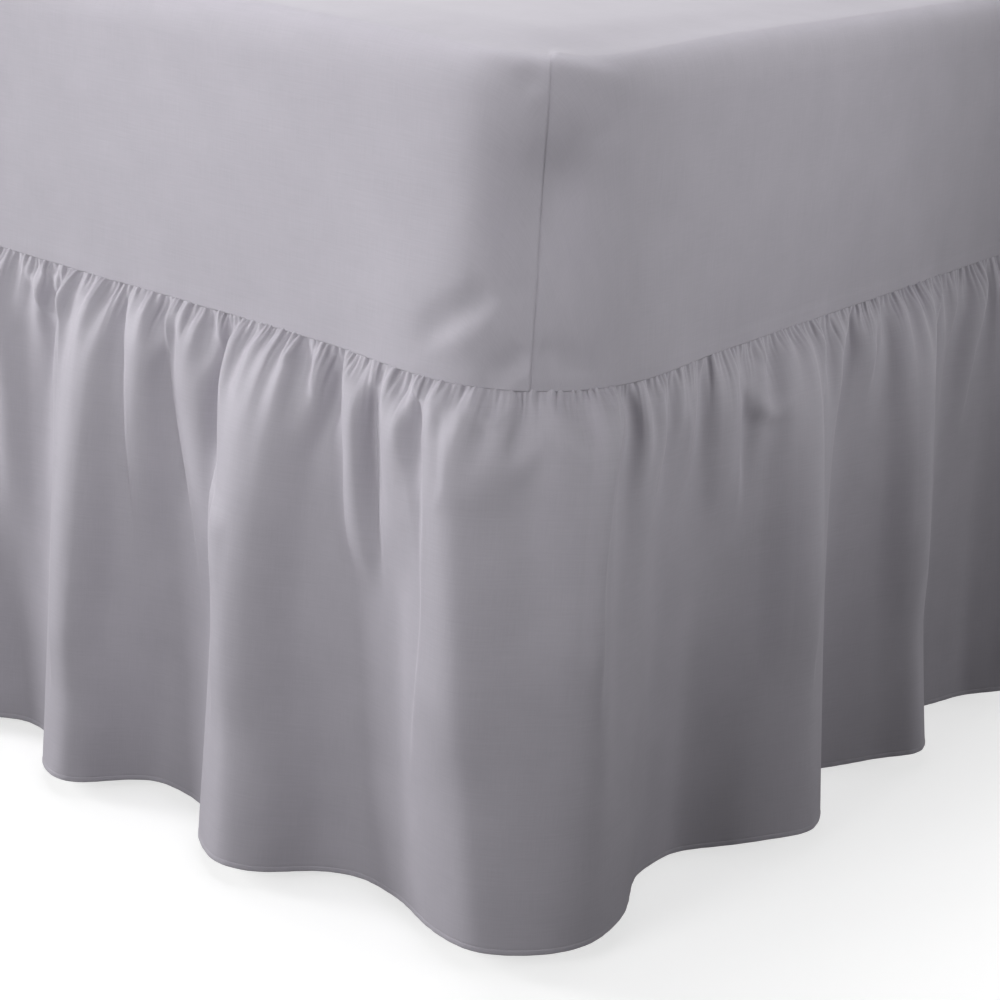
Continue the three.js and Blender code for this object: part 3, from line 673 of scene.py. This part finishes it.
def frill_cloth():
    """Settles the frill on a coarse grid, then on a fine one."""
    frill = Frill()
    rough = np.append(0, np.linspace(TUCK, TUCK + DROP, 46))
    guide = frill.guide(rough)
    X = settle(frill.start(1400, rough), rough, frill.length, frill.rest(1400, rough, guide), guide,
               lambda t: 3000 + 6000 * float(smooth(0.3, 0.9, t)), 150)
    top = TUCK + 2.7 * MM * np.arange(0, 16)
    fine = np.concatenate([[0], top, np.linspace(top[-1], TUCK + DROP, 60)[1:]])
    cols = 3200
    Y = resample(X, rough, cols, fine)
    Y[:, :2] = frill.start(cols, fine[:2])
    guide = frill.guide(fine)
    Y = settle(Y, fine, frill.length, frill.rest(cols, fine, guide), guide,
               lambda t: 1500 + 8000 * float(smooth(0.35, 0.9, t)), 100)
    return frill, Y, fine


# ------------------------------------------------------------------ meshes
def mesh_object(name, verts, faces, uv=None, smooth_shade=True):
    me = bpy.data.meshes.new(name)
    verts = np.asarray(verts, np.float32)
    faces = np.asarray(faces, np.int32)
    me.vertices.add(len(verts))
    me.vertices.foreach_set("co", verts.ravel())
    n = faces.shape[1]
    me.loops.add(len(faces) * n)
    me.loops.foreach_set("vertex_index", faces.ravel())
    me.polygons.add(len(faces))
    me.polygons.foreach_set("loop_start", np.arange(len(faces), dtype=np.int32) * n)
    me.polygons.foreach_set("use_smooth", np.full(len(faces), smooth_shade))
    if uv is not None:
        layer = me.uv_layers.new(name="cloth")
        layer.data.foreach_set("uv", np.asarray(uv, np.float32)[faces.ravel()].ravel())
    me.update(calc_edges=True)
    me.validate()
    ob = bpy.data.objects.new(name, me)
    bpy.context.scene.collection.objects.link(ob)
    return ob


def grid_normals(X):
    """Outward normals of a grid of the frill's points (3, rows, columns)."""
    n = np.cross(np.gradient(X, axis=1), np.gradient(X, axis=2), axis=0)
    n /= np.maximum(np.sqrt((n * n).sum(axis=0)), 1e-12)
    _, _, nx, ny = seam_of(X[0], X[1])
    return n * np.sign((n[0] * nx + n[1] * ny).mean())


# The turned hem: up from the bottom edge, out (mm); front from the stitches down, then back up behind.
HEM_ROWS = [(5.2, 0), (4.6, -.05), (4.3, -.12), (3.9, .05), (3.2, .18), (2.2, .22), (1.1, .2), (.4, .12), (.05, -.08),
            (.1, -.5), (.6, -.8), (1.8, -.85), (3.2, -.78), (4.1, -.62)]


def ticks(rng, length, low, high):
    """Uneven marks along the cloth, the first and last at its ends."""
    marks = [0.0]
    while marks[-1] < length - low:
        marks.append(marks[-1] + low + (high - low) * rng.random())
    marks[-1] = length
    return np.array(marks)


def seam_notches(u, depth, length):
    """The smallest gathers, right under the seam: round bulges with sharp notches, gone a little way down."""
    rng = np.random.default_rng(SEED + 15)
    marks = ticks(rng, length, 3.8 * MM, 8.5 * MM)
    n = len(marks)
    size = 0.35 + 1.0 * rng.random(n) ** 1.2
    far = 7 + 20 * rng.random(n) ** 2
    lean = 0.35 * (rng.random(n) - 0.5)
    size[-1], far[-1], lean[-1] = size[0], far[0], lean[0]
    d = np.clip(depth, 0, 60)[:, None]
    v = u[None, :] + np.interp(u, marks, lean)[None, :] * d * MM
    k = np.interp(v, marks, np.arange(n), period=None)
    wave = 1.7 * np.abs(np.sin(math.pi * k)) ** 0.8 - 1.0
    return 1.3 * MM * wave * np.interp(v, marks, size) * np.exp(-(d / np.interp(v, marks, far)) ** 1.6)


def columns_at(X, p):
    """The grid at fractional columns p, closed round, by smooth interpolation."""
    n = X.shape[2]
    i = np.floor(p).astype(int)
    f = p - i
    a, b, c, d = (X[:, :, (i + k) % n] for k in (-1, 0, 1, 2))
    return b + 0.5 * f * (c - a + f * (2 * a - 5 * b + 4 * c - d + f * (3 * (b - c) + d - a)))


def stood_out(X, table):
    """The grid with the table's heights added, straight out from the bed."""
    n = table.shape[1]
    s, _, nx, ny = seam_of(X[0], X[1])
    k = np.mod(s, AROUND) * (n / AROUND)
    i = np.floor(k).astype(int)
    f = k - i
    r = np.arange(len(table))[:, None]
    out = table[r, i % n] * (1 - f) + table[r, (i + 1) % n] * f
    return X + np.stack([nx * out, ny * out, 0 * out])


def build_frill():
    frill, X, drops = frill_cloth()
    cols = X.shape[2]
    step = frill.length / cols
    # columns counted from the first join
    s_col = np.interp((np.arange(cols) + 0.5) * step, frill.k_u, frill.k_s)
    turns = np.mod(s_col - JOINS[0] * MM, AROUND)
    base = int(np.argmin(turns))
    X, turns = np.roll(X, -base, axis=2), np.roll(turns, -base)
    ends = np.append(np.interp([(j - JOINS[0]) * MM for j in JOINS], np.append(turns, turns[0] + AROUND), np.arange(cols + 1)), 0)
    ends[-1] = ends[0] + cols
    top = TUCK + 2.7 * MM * np.arange(0, 16)
    body = np.concatenate([[0], top, np.linspace(top[-1], TUCK + 92 * MM, 11)[1:], np.linspace(TUCK + 92 * MM, TUCK + DROP - 7.0 * MM, 35)[1:]])
    up = np.array([r[0] for r in HEM_ROWS]) * MM
    d = np.append(body, TUCK + DROP - up)
    turn = np.append(body, np.append(TUCK + DROP - up[:9], TUCK + DROP + up[9:]))
    order = np.argsort(d, kind="stable")
    Y = np.zeros((3, len(d), cols))
    Y[:, order] = resample(X, drops, cols, d[order])
    bands = gather_table(np.minimum(d, TUCK + DROP), 8000)
    rng = np.random.default_rng(SEED + 9)
    marks = ticks(rng, frill.length, 4.5 * MM, 10.5 * MM)
    lively = 0.3 + 0.9 * rng.random(len(marks))
    pieces = []
    for k in range(4):
        # the strip that shows most is the finest
        n = int((ends[k + 1] - ends[k]) * step / ((1.3 if k == 0 else 2.07) * MM))
        p = np.linspace(ends[k], ends[k + 1], n + 1)
        wide = np.concatenate([[p[0] - (p[1] - p[0])], p, [p[-1] + (p[1] - p[0])]])
        S = stood_out(columns_at(Y, wide), bands)
        N = np.zeros_like(S)
        N[:, order] = grid_normals(S[:, order])
        S, N = S[:, :, 1:-1], N[:, :, 1:-1]
        u = p * step
        out = seam_notches(np.mod(u, frill.length), (d - TUCK) / MM, frill.length)
        wave = np.sin(math.pi * np.interp(np.mod(u, frill.length), marks, np.arange(len(marks)))) * np.interp(np.mod(u, frill.length), marks, lively)
        for r, (h, o) in enumerate(HEM_ROWS):
            out[len(body) + r] = (o + (0.14 * wave * smooth(6, 3.4, h) if r < 9 else 0.0)) * MM
        # the strip's ends sink a little into the join
        out[:, [0, -1]] -= 0.7 * MM
        S = S + N * out
        rows, c = S.shape[1], S.shape[2]
        uvs = np.stack(np.broadcast_arrays(u[None, :], -turn[:, None]), axis=-1).reshape(-1, 2)
        i, j = np.meshgrid(np.arange(rows - 1), np.arange(c - 1), indexing="ij")
        a = (i * c + j).ravel()
        faces = np.stack([a, a + c, a + c + 1, a + 1], axis=1)
        ob = mesh_object(f"valance_frill_{k + 1}", S.transpose(1, 2, 0).reshape(-1, 3), faces, uvs)
        pieces.append((ob, float(u[-1] - u[0])))
    return pieces


# ------------------------------------------------------------------ the fitted panel
# Round the near corner, on the panel: places (s, mm below the top), height, steep and easy width, steep side,
# where it starts to fade, and how it starts.
SEAM_S = -10.0              # the corner seam, mm along from the middle of the corner
PANEL_LINES = [
    ([(-34, 156), (-48, 171), (-66, 186), (-96, 208)], -2.9, 7, 11, 1, .62, .22),
    ([(-30, 176), (-50, 194), (-72, 210)], 1.3, 7, 10, 1, .5, .3),
    ([(-12, 196), (-20, 207), (-30, 217), (-44, 225)], -2.9, 6, 9, 1, .55, .2),
    ([(-6, 194), (6, 203), (20, 210), (38, 216)], -1.8, 7, 9, -1, .5, .15),
    ([(-12, 150), (-24, 160), (-30, 170)], -0.8, 6, 7, 1, .5, .3),
    ([(-4, 3), (14, 8), (34, 13), (62, 15)], 2.4, 5, 8, 1, .35, .0),
    ([(6, 14), (22, 20), (40, 24)], -0.9, 5, 8, -1, .4, .1),
    ([(-15, 13), (-24, 15), (-31, 21)], -0.9, 4, 6, 1, .6, .25),
    ([(-11, 24), (-18, 27), (-28, 33)], 1.1, 6, 5, -1, .45, .0),
    ([(26, 36), (34, 46), (28, 60)], -0.5, 5, 8, -1, .6, .3),
    ([(14, 52), (30, 50), (40, 42)], -0.4, 4, 6, 1, .6, .3),
    ([(-480, 227), (-482, 200)], 0.8, 6, 8, 1, .3, .0),
    ([(-440, 227), (-441, 192)], 0.9, 7, 9, 1, .3, .0),
    ([(-406, 227), (-408, 197)], 0.8, 6, 9, 1, .3, .0),
    ([(-300, 227), (-303, 206)], 0.5, 6, 9, 1, .3, .0),
    ([(501, 227), (512, 180), (528, 131)], -0.7, 9, 12, 1, .5, .0),
    ([(310, 227), (316, 203)], 0.5, 7, 9, 1, .3, .0),
    ([(215, 227), (219, 206)], 0.5, 6, 9, 1, .3, .0),
    ([(-540, 96), (-470, 101), (-390, 112)], -0.6, 12, 16, 1, .5, .3),
]
# Soft hollows and swells: s, mm below the top, widths to lower s, to higher s, up and down, out (mm).
PANEL_BUMPS = [(-2, 94, 22, 19, 29, 58, -9.0), (-60, 110, 45, 40, 50, 60, -0.8), (30, 120, 34, 50, 50, 60, -0.6)]


def panel_columns():
    """Places round the panel, the same on opposite sides, close together by the corner seams."""
    seam = np.array([-13, -9.5, -6.5, -4.2, -2.6, -1.5, -.8, -.25, .3, .8, 1.5, 2.6, 4.2, 6.5, 9.5]) + SEAM_S
    even = np.arange(-188, 189, 4.0)
    near = np.sort(np.concatenate([even[np.abs(even - SEAM_S) > 11.5], seam])) * MM
    lines = []
    for k, c in enumerate(CORNER_S):
        here = near if k % 2 == 0 else -near[::-1]
        to = (CORNER_S[k + 1] if k < 3 else AROUND) - c
        after = -near[0] if k % 2 == 0 else near[-1]
        gap = to - here[-1] - after
        n = int(round(gap / (8.4 * MM)))
        lines.append(c + here)
        lines.append(c + here[-1] + gap * np.arange(1, n) / n)
    return np.concatenate(lines)


def panel_relief(s, depth):
    """Height of the panel's small shapes, at places s and depths below the top (mm), in metres."""
    rng = np.random.default_rng(SEED + 21)
    S, D = np.meshgrid(s / MM, depth)
    total = np.zeros(S.shape)
    for k, c in enumerate(CORNER_S):
        ds = nearest((S - c / MM) * MM) / MM
        if k % 2:
            ds = -ds
        share = 1.0 if k == 0 else 0.75
        m = np.abs(ds[0]) < 620
        L, E = ds[:, m], D[:, m]
        h = np.zeros(L.shape)
        for row in PANEL_LINES:
            line, high, steep, easy, side, fade, start = row
            if k:
                slip = 14 * (rng.random() - 0.5)
                line = [(a + slip * min(1, abs(a) / 60), b) for a, b in line]
                high = high * (0.6 + 0.7 * rng.random())
            h += line_height(L, E, line, high, steep, easy, side, fade, start) * (share if k else 1.0)
        for b_s, b_d, w0, w1, up, down, out in PANEL_BUMPS:
            u, v = L - b_s, E - b_d
            h += (1.0 if k == 0 else 0.35) * out * np.exp(-0.5 * (u / np.where(u < 0, w0, w1)) ** 2 - 0.5 * (v / np.where(v < 0, up, down)) ** 2)
        # the corner seam: one side laps a little over the other, with stitches and small puckers along it
        e = L - SEAM_S
        lap = np.where(e < -.3, .52 * np.exp((e + .3) / 7), 0) + np.where(e > .5, -.50 * np.exp(-(e - .5) / 2.2), 0)
        mid = (e >= -.3) & (e <= .5)
        lap = np.where(mid, .52 - 1.02 * (e + .3) / .8, lap)
        stitch = -0.24 * np.exp(-(e / 1.0) ** 2) * (0.5 + 0.5 * np.cos(2 * math.pi * E / 6.8))
        pucker = np.zeros(L.shape)
        at = 30.0
        while at < 222:
            size = (0.08 + 0.30 * rng.random() ** 2) * (1 if rng.random() < .6 else -1)
            tall, wide = 2.8 + 2.5 * rng.random(), 6 + 8 * rng.random()
            lean = 0.5 * (rng.random() - 0.5)
            pucker += size * np.exp(-((E - at - lean * e) / tall) ** 2 - (np.abs(e) / wide) ** 1.5)
            at += 5 + 9 * rng.random()
        h += (lap + stitch + pucker) * smooth(2.5, 7, E)
        total[:, m] += h
    # the seam allowance behind the lower edge, and slow waves of the whole cloth
    deep = (TOP_Z - SEAM_Z) / MM
    total += 0.35 * smooth(deep - 12.5, deep - 9.0, D)
    for waves, down, amount in ((11, 90, .36), (19, 70, .30), (31, 55, .22), (53, 38, .14)):
        total += amount * np.cos(waves * 2 * math.pi * S * MM / AROUND + 6.28 * rng.random()) * np.cos(2 * math.pi * D / down / 4 + 6.28 * rng.random())
    return total * MM


def build_panel():
    s = panel_columns()
    x, y, nx, ny = seam_at(s)
    cols = len(s)
    side_h = TOP_Z - PANEL_FALL - SEAM_Z
    rows = []      # inset, z, turn from side to top, h, depth below the top in mm
    for inn, z in ((1.7, 1.6), (.9, .5), (.25, .02)):
        rows.append((inn * MM, SEAM_Z + z * MM, 0.0, 1.0, (TOP_Z - SEAM_Z) / MM))
    near = [.6, 1.4, 2.6, 4.2, 6.2, 8.4, 10.6, 12.6, 15]
    for z in np.append(near, np.linspace(18, side_h / MM, 55)):
        rows.append((0.0, SEAM_Z + z * MM, 0.0, 1 - z * MM / side_h, (TOP_Z - SEAM_Z) / MM - z))
    for k in range(1, 12):
        a = math.pi / 2 * k / 11
        z = TOP_Z - PANEL_FALL + PANEL_FALL * math.sin(a)
        rows.append((PANEL_EDGE * (1 - math.cos(a)), z, a, 0.0, (TOP_Z - z) / MM))
    for inset in np.concatenate([np.linspace(PANEL_EDGE, SEAM_R, 8)[1:], np.linspace(SEAM_R, HALF_X, 13)[1:]]):
        rows.append((float(inset), TOP_Z, math.pi / 2, 0.0, -(float(inset) - PANEL_EDGE) / MM))
    relief = panel_relief(s, np.array([r[4] for r in rows]))
    X = np.zeros((len(rows), cols, 3))
    uv = np.zeros((len(rows), cols, 2))
    for i, (inset, z, a, h, depth) in enumerate(rows):
        px, py = x - nx * min(inset, SEAM_R), y - ny * min(inset, SEAM_R)
        if inset > SEAM_R:
            px = np.clip(px - MID_X, -(HALF_X - inset), HALF_X - inset) + MID_X
            py = np.clip(py - MID_Y, -(HALF_Y - inset), HALF_Y - inset) + MID_Y
        if depth > -20:
            fade = float(smooth(-20, 0, depth)) if depth < 0 else 1.0
            d = panel_out(s, np.full(cols, h)) * (1 - math.sin(a)) + relief[i] * fade
        else:
            d = np.zeros(cols)
        X[i, :, 0], X[i, :, 1], X[i, :, 2] = px + nx * d * math.cos(a), py + ny * d * math.cos(a), z + d * math.sin(a)
        if inset > PANEL_EDGE:
            lift = smooth(PANEL_EDGE, 3 * PANEL_EDGE, inset)
            X[i, :, 2] -= lift * MM * (0.5 + 0.35 * np.cos(9 * px + 1.1) * np.cos(7 * py + .4) + 0.2 * np.cos(17 * px - 11 * py))
        X[i, :, 2] -= edge_sag(X[i, :, 0], X[i, :, 1]) * float(smooth(SEAM_Z + 60 * MM, TOP_Z - 8 * MM, z))
        drop = max(0.0, TOP_Z - z)
        uv[i, :, 0], uv[i, :, 1] = px + nx * drop, py + ny * drop
    n_rows = len(rows)
    i, j = np.meshgrid(np.arange(n_rows - 1), np.arange(cols), indexing="ij")
    a = (i * cols + j).ravel()
    b = (i * cols + (j + 1) % cols).ravel()
    faces = np.stack([a, b, b + cols, a + cols], axis=1)
    ob = mesh_object("fitted_sheet_panel", X.reshape(-1, 3), faces, uv.reshape(-1, 2))
    bm = bmesh.new()
    bm.from_mesh(ob.data)
    bmesh.ops.remove_doubles(bm, verts=bm.verts, dist=0.02 * MM)
    bmesh.ops.dissolve_degenerate(bm, dist=0.01 * MM, edges=bm.edges)
    bm.to_mesh(ob.data)
    bm.free()
    ob.data.polygons.foreach_set("use_smooth", np.full(len(ob.data.polygons), True))
    return ob


def build_mattress():
    """The plain mattress inside: a crowned pad with rounded corners and a welt round each edge."""
    lo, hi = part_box("mattress")
    hx, hy, corner = (hi.x - lo.x) / 2, (hi.y - lo.y) / 2, 118 * MM
    tall = hi.z - lo.z
    n_arc, n_x, n_y = 14, 24, 48
    ring = []
    for turn, (cx, cy, n) in enumerate([(1, -1, n_y), (1, 1, n_x), (-1, 1, n_y), (-1, -1, n_x)]):
        mx, my = cx * (hx - corner), cy * (hy - corner)
        a1 = turn * math.pi / 2
        for k in range(n_arc):
            a = a1 - math.pi / 2 + math.pi / 2 * k / n_arc
            ring.append((mx, my, math.cos(a), math.sin(a)))
        run = 2 * (hy - corner) if turn % 2 == 0 else 2 * (hx - corner)
        for k in range(n):
            e = run * k / n
            ring.append((mx - math.sin(a1) * e, my + math.cos(a1) * e, math.cos(a1), math.sin(a1)))
    ring = np.array(ring)
    prof = []      # inset, z
    edge = 26 * MM
    for k in range(9):
        a = math.pi / 2 * k / 8
        prof.append((edge * (1 - math.sin(a)), edge * (1 - math.cos(a))))
    for f in np.linspace(0, 1, 15)[1:-1]:
        prof.append((0.8 * MM - 0.8 * MM * (2 * f - 1) ** 2 * 1.0, edge + (tall - 2 * edge) * f))
    prof += [(i, tall - z) for i, z in reversed(prof[:9])]
    groove = {8: 0.6 * MM, len(prof) - 9: 0.6 * MM}
    inward = np.concatenate([np.linspace(edge, corner, 5)[1:], np.linspace(corner, hx, 9)[1:]])
    full = [(float(i), 0.0) for i in reversed(inward)] + prof + [(float(i), tall) for i in inward]
    rows = []
    for r, (inset, z) in enumerate(full):
        k = r - len(inward)
        inset = inset + groove.get(k, 0.0)
        px, py = ring[:, 0] + ring[:, 2] * (corner - min(inset, corner)), ring[:, 1] + ring[:, 3] * (corner - min(inset, corner))
        if inset > corner:
            px, py = np.clip(px, -(hx - inset), hx - inset), np.clip(py, -(hy - inset), hy - inset)
        dip = 1.2 * MM * float(smooth(edge, corner, inset)) * (0.5 + 0.5 * np.cos(px * 34) * np.cos(py * 34)) if z in (0.0, tall) else 0.0
        sink = edge_sag(px + MID_X, py + MID_Y) * float(smooth(0.35 * tall, 0.98 * tall, z))
        rows.append(np.stack([px + MID_X, py + MID_Y, lo.z + z - sink - (dip if z == tall else 0 * px)], axis=1))
    X = np.stack(rows)
    c = len(ring)
    i, j = np.meshgrid(np.arange(len(rows) - 1), np.arange(c), indexing="ij")
    a, b = (i * c + j).ravel(), (i * c + (j + 1) % c).ravel()
    ob = mesh_object("mattress_pad", X.reshape(-1, 3), np.stack([a, b, b + c, a + c], axis=1))
    bm = bmesh.new()
    bm.from_mesh(ob.data)
    bmesh.ops.remove_doubles(bm, verts=bm.verts, dist=0.02 * MM)
    bmesh.ops.dissolve_degenerate(bm, dist=0.01 * MM, edges=bm.edges)
    bmesh.ops.recalc_face_normals(bm, faces=bm.faces)
    bm.to_mesh(ob.data)
    bm.free()
    ob.data.polygons.foreach_set("use_smooth", np.full(len(ob.data.polygons), True))
    return ob


# ------------------------------------------------------------------ materials
def new_material(name):
    m = bpy.data.materials.new(name)
    m.use_nodes = True
    return m, m.node_tree.nodes, m.node_tree.links, m.node_tree.nodes["Principled BSDF"]


def cloth_material():
    """Plain-weave polycotton: fine threads both ways, some thicker than others, with a slight sheen."""
    m, nodes, links, bsdf = new_material("sheet_cloth")
    uv = nodes.new("ShaderNodeUVMap")
    uv.uv_map = "cloth"

    def streaks(su, sv, detail):
        mp = nodes.new("ShaderNodeMapping")
        mp.inputs["Scale"].default_value = (su, sv, 1)
        nz = nodes.new("ShaderNodeTexNoise")
        nz.inputs["Scale"].default_value = 1.0
        nz.inputs["Detail"].default_value = detail
        links.new(uv.outputs["UV"], mp.inputs["Vector"])
        links.new(mp.outputs["Vector"], nz.inputs["Vector"])
        return nz.outputs["Fac"]

    def calc(op, a, b):
        n = nodes.new("ShaderNodeMath")
        n.operation = op
        for k, v in enumerate((a, b)):
            if isinstance(v, (int, float)):
                n.inputs[k].default_value = v
            else:
                links.new(v, n.inputs[k])
        return n.outputs[0]
    weft = streaks(55, 1300, 2.0)
    warp = streaks(1300, 45, 2.0)
    slub = streaks(16, 620, 1.0)
    cloud = streaks(22, 22, 3.0)
    thread = calc("ADD", calc("MULTIPLY", weft, 0.5), calc("MULTIPLY", warp, 0.5))
    tone = calc("ADD", calc("MULTIPLY", thread, 0.50), calc("ADD", calc("MULTIPLY", slub, 0.16), calc("MULTIPLY", cloud, 0.34)))
    ramp = nodes.new("ShaderNodeValToRGB")
    ramp.color_ramp.elements[0].position = 0.32
    ramp.color_ramp.elements[0].color = (0.380, 0.362, 0.405, 1)
    ramp.color_ramp.elements[1].position = 0.68
    ramp.color_ramp.elements[1].color = (0.437, 0.416, 0.464, 1)
    links.new(tone, ramp.inputs["Fac"])
    links.new(ramp.outputs["Color"], bsdf.inputs["Base Color"])
    bump = nodes.new("ShaderNodeBump")
    bump.inputs["Strength"].default_value = 0.25
    bump.inputs["Distance"].default_value = 0.0003
    links.new(thread, bump.inputs["Height"])
    links.new(bump.outputs["Normal"], bsdf.inputs["Normal"])
    bsdf.inputs["Roughness"].default_value = 0.68
    bsdf.inputs["Specular IOR Level"].default_value = 0.3
    bsdf.inputs["Sheen Weight"].default_value = 0.12
    bsdf.inputs["Sheen Roughness"].default_value = 0.4
    return m


def plain_cloth(name, dark, light, scale, rough=0.85):
    m, nodes, links, bsdf = new_material(name)
    tex = nodes.new("ShaderNodeTexCoord")
    nz = nodes.new("ShaderNodeTexNoise")
    nz.inputs["Scale"].default_value = scale
    nz.inputs["Detail"].default_value = 4
    links.new(tex.outputs["Object"], nz.inputs["Vector"])
    ramp = nodes.new("ShaderNodeValToRGB")
    ramp.color_ramp.elements[0].color = (*dark, 1)
    ramp.color_ramp.elements[1].color = (*light, 1)
    links.new(nz.outputs["Fac"], ramp.inputs["Fac"])
    links.new(ramp.outputs["Color"], bsdf.inputs["Base Color"])
    bump = nodes.new("ShaderNodeBump")
    bump.inputs["Strength"].default_value = 0.2
    bump.inputs["Distance"].default_value = 0.0005
    links.new(nz.outputs["Fac"], bump.inputs["Height"])
    links.new(bump.outputs["Normal"], bsdf.inputs["Normal"])
    bsdf.inputs["Roughness"].default_value = rough
    return m


# ------------------------------------------------------------------ camera, light, floor
def add_camera():
    focal, pitch, side, roll = 2138.0, math.radians(20.36), math.radians(52.98), math.radians(3.60)
    ahead, across, above = 1.315, 0.030, 0.423
    fwd = Vector((-math.cos(side), math.sin(side), 0))
    right = Vector((math.sin(side), math.cos(side), 0))
    corner = Vector((MID_X + HALF_X, MID_Y - HALF_Y, 0))
    place = corner - fwd * ahead - right * across
    place.z = SEAM_Z + above
    look = fwd * math.cos(pitch) - Vector((0, 0, math.sin(pitch)))
    up = fwd * math.sin(pitch) + Vector((0, 0, math.cos(pitch)))
    ex = right * math.cos(roll) + up * math.sin(roll)
    ey = up * math.cos(roll) - right * math.sin(roll)
    cam = bpy.data.cameras.new("camera")
    cam.sensor_fit = "HORIZONTAL"
    cam.sensor_width = 36.0
    cam.lens = focal / 1000 * 36
    cam.clip_start = 0.02
    ob = bpy.data.objects.new("camera", cam)
    m = Matrix.Identity(4)
    for k, axis in enumerate((ex, ey, -look)):
        m[0][k], m[1][k], m[2][k] = axis
    m.translation = place
    ob.matrix_world = m
    bpy.context.scene.collection.objects.link(ob)
    bpy.context.scene.camera = ob


def area_light(name, place, aim, size, power, spread=180):
    li = bpy.data.lights.new(name, "AREA")
    li.shape = "RECTANGLE"
    li.size = li.size_y = size
    li.energy = power
    li.spread = math.radians(spread)
    ob = bpy.data.objects.new(name, li)
    ob.location = place
    ob.rotation_euler = (Vector(aim) - Vector(place)).to_track_quat("-Z", "Y").to_euler()
    ob.visible_camera = False
    bpy.context.scene.collection.objects.link(ob)
    return ob


# Soft boxes: name, place, aim, size, power, spread.
LIGHTS = [
    ("key", (0.19, -2.39, 0.76), (0.30, -0.80, 0.62), 0.6, 13.6, 180),
    ("key_top", (-0.47, -2.14, 1.03), (0.30, -0.80, 0.62), 0.4, 0.41, 50),
    ("left", (-2.36, -2.03, 0.92), (0.35, -0.85, 0.40), 0.8, 60.0, 180),
    ("right", (1.68, -1.60, 0.76), (0.30, -0.80, 0.62), 0.5, 3.7, 180),
    ("right_top", (1.75, -0.27, 1.03), (0.30, -0.80, 0.62), 0.4, 0.85, 50),
    ("right_back", (2.61, 1.05, 0.92), (0.35, -0.85, 0.40), 1.0, 19.1, 180),
    ("top", (-0.29, -0.46, 2.71), (0.30, -0.80, 0.62), 1.0, 45.3, 180),
    ("far_left", (-2.3, 0.9, 1.0), (-0.45, 0.3, 0.40), 1.3, 30, 180),
    ("far_end", (0.5, 2.9, 1.0), (0.1, 0.95, 0.40), 1.3, 26, 180),
]


def add_stage():
    scene = bpy.context.scene
    scene.view_settings.view_transform = "Standard"
    # pale all round to look at, and only a little light from it
    world = bpy.data.worlds.new("studio")
    scene.world = world
    world.use_nodes = True
    nodes, links = world.node_tree.nodes, world.node_tree.links
    shown = nodes["Background"]
    shown.inputs["Color"].default_value = (0.92, 0.92, 0.93, 1)
    fill = nodes.new("ShaderNodeBackground")
    fill.inputs["Color"].default_value = (1, 1, 1, 1)
    fill.inputs["Strength"].default_value = 0.01
    ray = nodes.new("ShaderNodeLightPath")
    mix = nodes.new("ShaderNodeMixShader")
    links.new(ray.outputs["Is Camera Ray"], mix.inputs[0])
    links.new(fill.outputs[0], mix.inputs[1])
    links.new(shown.outputs[0], mix.inputs[2])
    links.new(mix.outputs[0], nodes["World Output"].inputs["Surface"])
    size = 20.0
    v = [(-size, -size, 0), (size, -size, 0), (size, size, 0), (-size, size, 0)]
    floor = mesh_object("floor", v, [(0, 1, 2, 3)], smooth_shade=False)
    m, nodes, links, bsdf = new_material("pale_floor")
    # further off the floor goes over into the pale all round
    tex = nodes.new("ShaderNodeTexCoord")
    far = nodes.new("ShaderNodeVectorMath")
    far.operation = "LENGTH"
    links.new(tex.outputs["Object"], far.inputs[0])
    for socket, near, off in (("Base Color", 0.45, 0.0), ("Emission Strength", 0.66, 0.92)):
        over = nodes.new("ShaderNodeMapRange")
        over.interpolation_type = "SMOOTHSTEP"
        over.inputs["From Min"].default_value, over.inputs["From Max"].default_value = 1.5, 4.5
        over.inputs["To Min"].default_value, over.inputs["To Max"].default_value = near, off
        links.new(far.outputs["Value"], over.inputs["Value"])
        links.new(over.outputs["Result"], bsdf.inputs[socket])
    bsdf.inputs["Roughness"].default_value = 0.9
    bsdf.inputs["Specular IOR Level"].default_value = 0.1
    bsdf.inputs["Emission Color"].default_value = (1, 1, 1, 1)
    floor.data.materials.append(m)
    floor.visible_diffuse = False
    floor.visible_glossy = False
    for row in LIGHTS:
        area_light(*row)


# ------------------------------------------------------------------ build
add_camera()
cloth = cloth_material()
ticking = plain_cloth("mattress_cover", (0.74, 0.73, 0.69), (0.84, 0.83, 0.79), 900)
linen = plain_cloth("base_cover", (0.56, 0.54, 0.50), (0.66, 0.64, 0.60), 700)
plastic = plain_cloth("foot_plastic", (0.03, 0.03, 0.033), (0.05, 0.05, 0.055), 300, 0.6)

pad = build_mattress()
pad.data.materials.append(ticking)
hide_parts("mattress")
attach(pad, "root")

panel = build_panel()
panel.data.materials.append(cloth)
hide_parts("fitted_panel")
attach(panel, "root")

for k, (ob, width) in enumerate(build_frill()):
    ob.data.materials.append(cloth)
    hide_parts(f"frill_strip_{k + 1}")
    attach(ob, "root")

for name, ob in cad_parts.items():
    mat = linen if name == "divan_base" else plastic if name.startswith("foot") else None
    if mat:
        ob.data.materials.clear()
        ob.data.materials.append(mat)

add_stage()
bpy.context.view_layer.update()
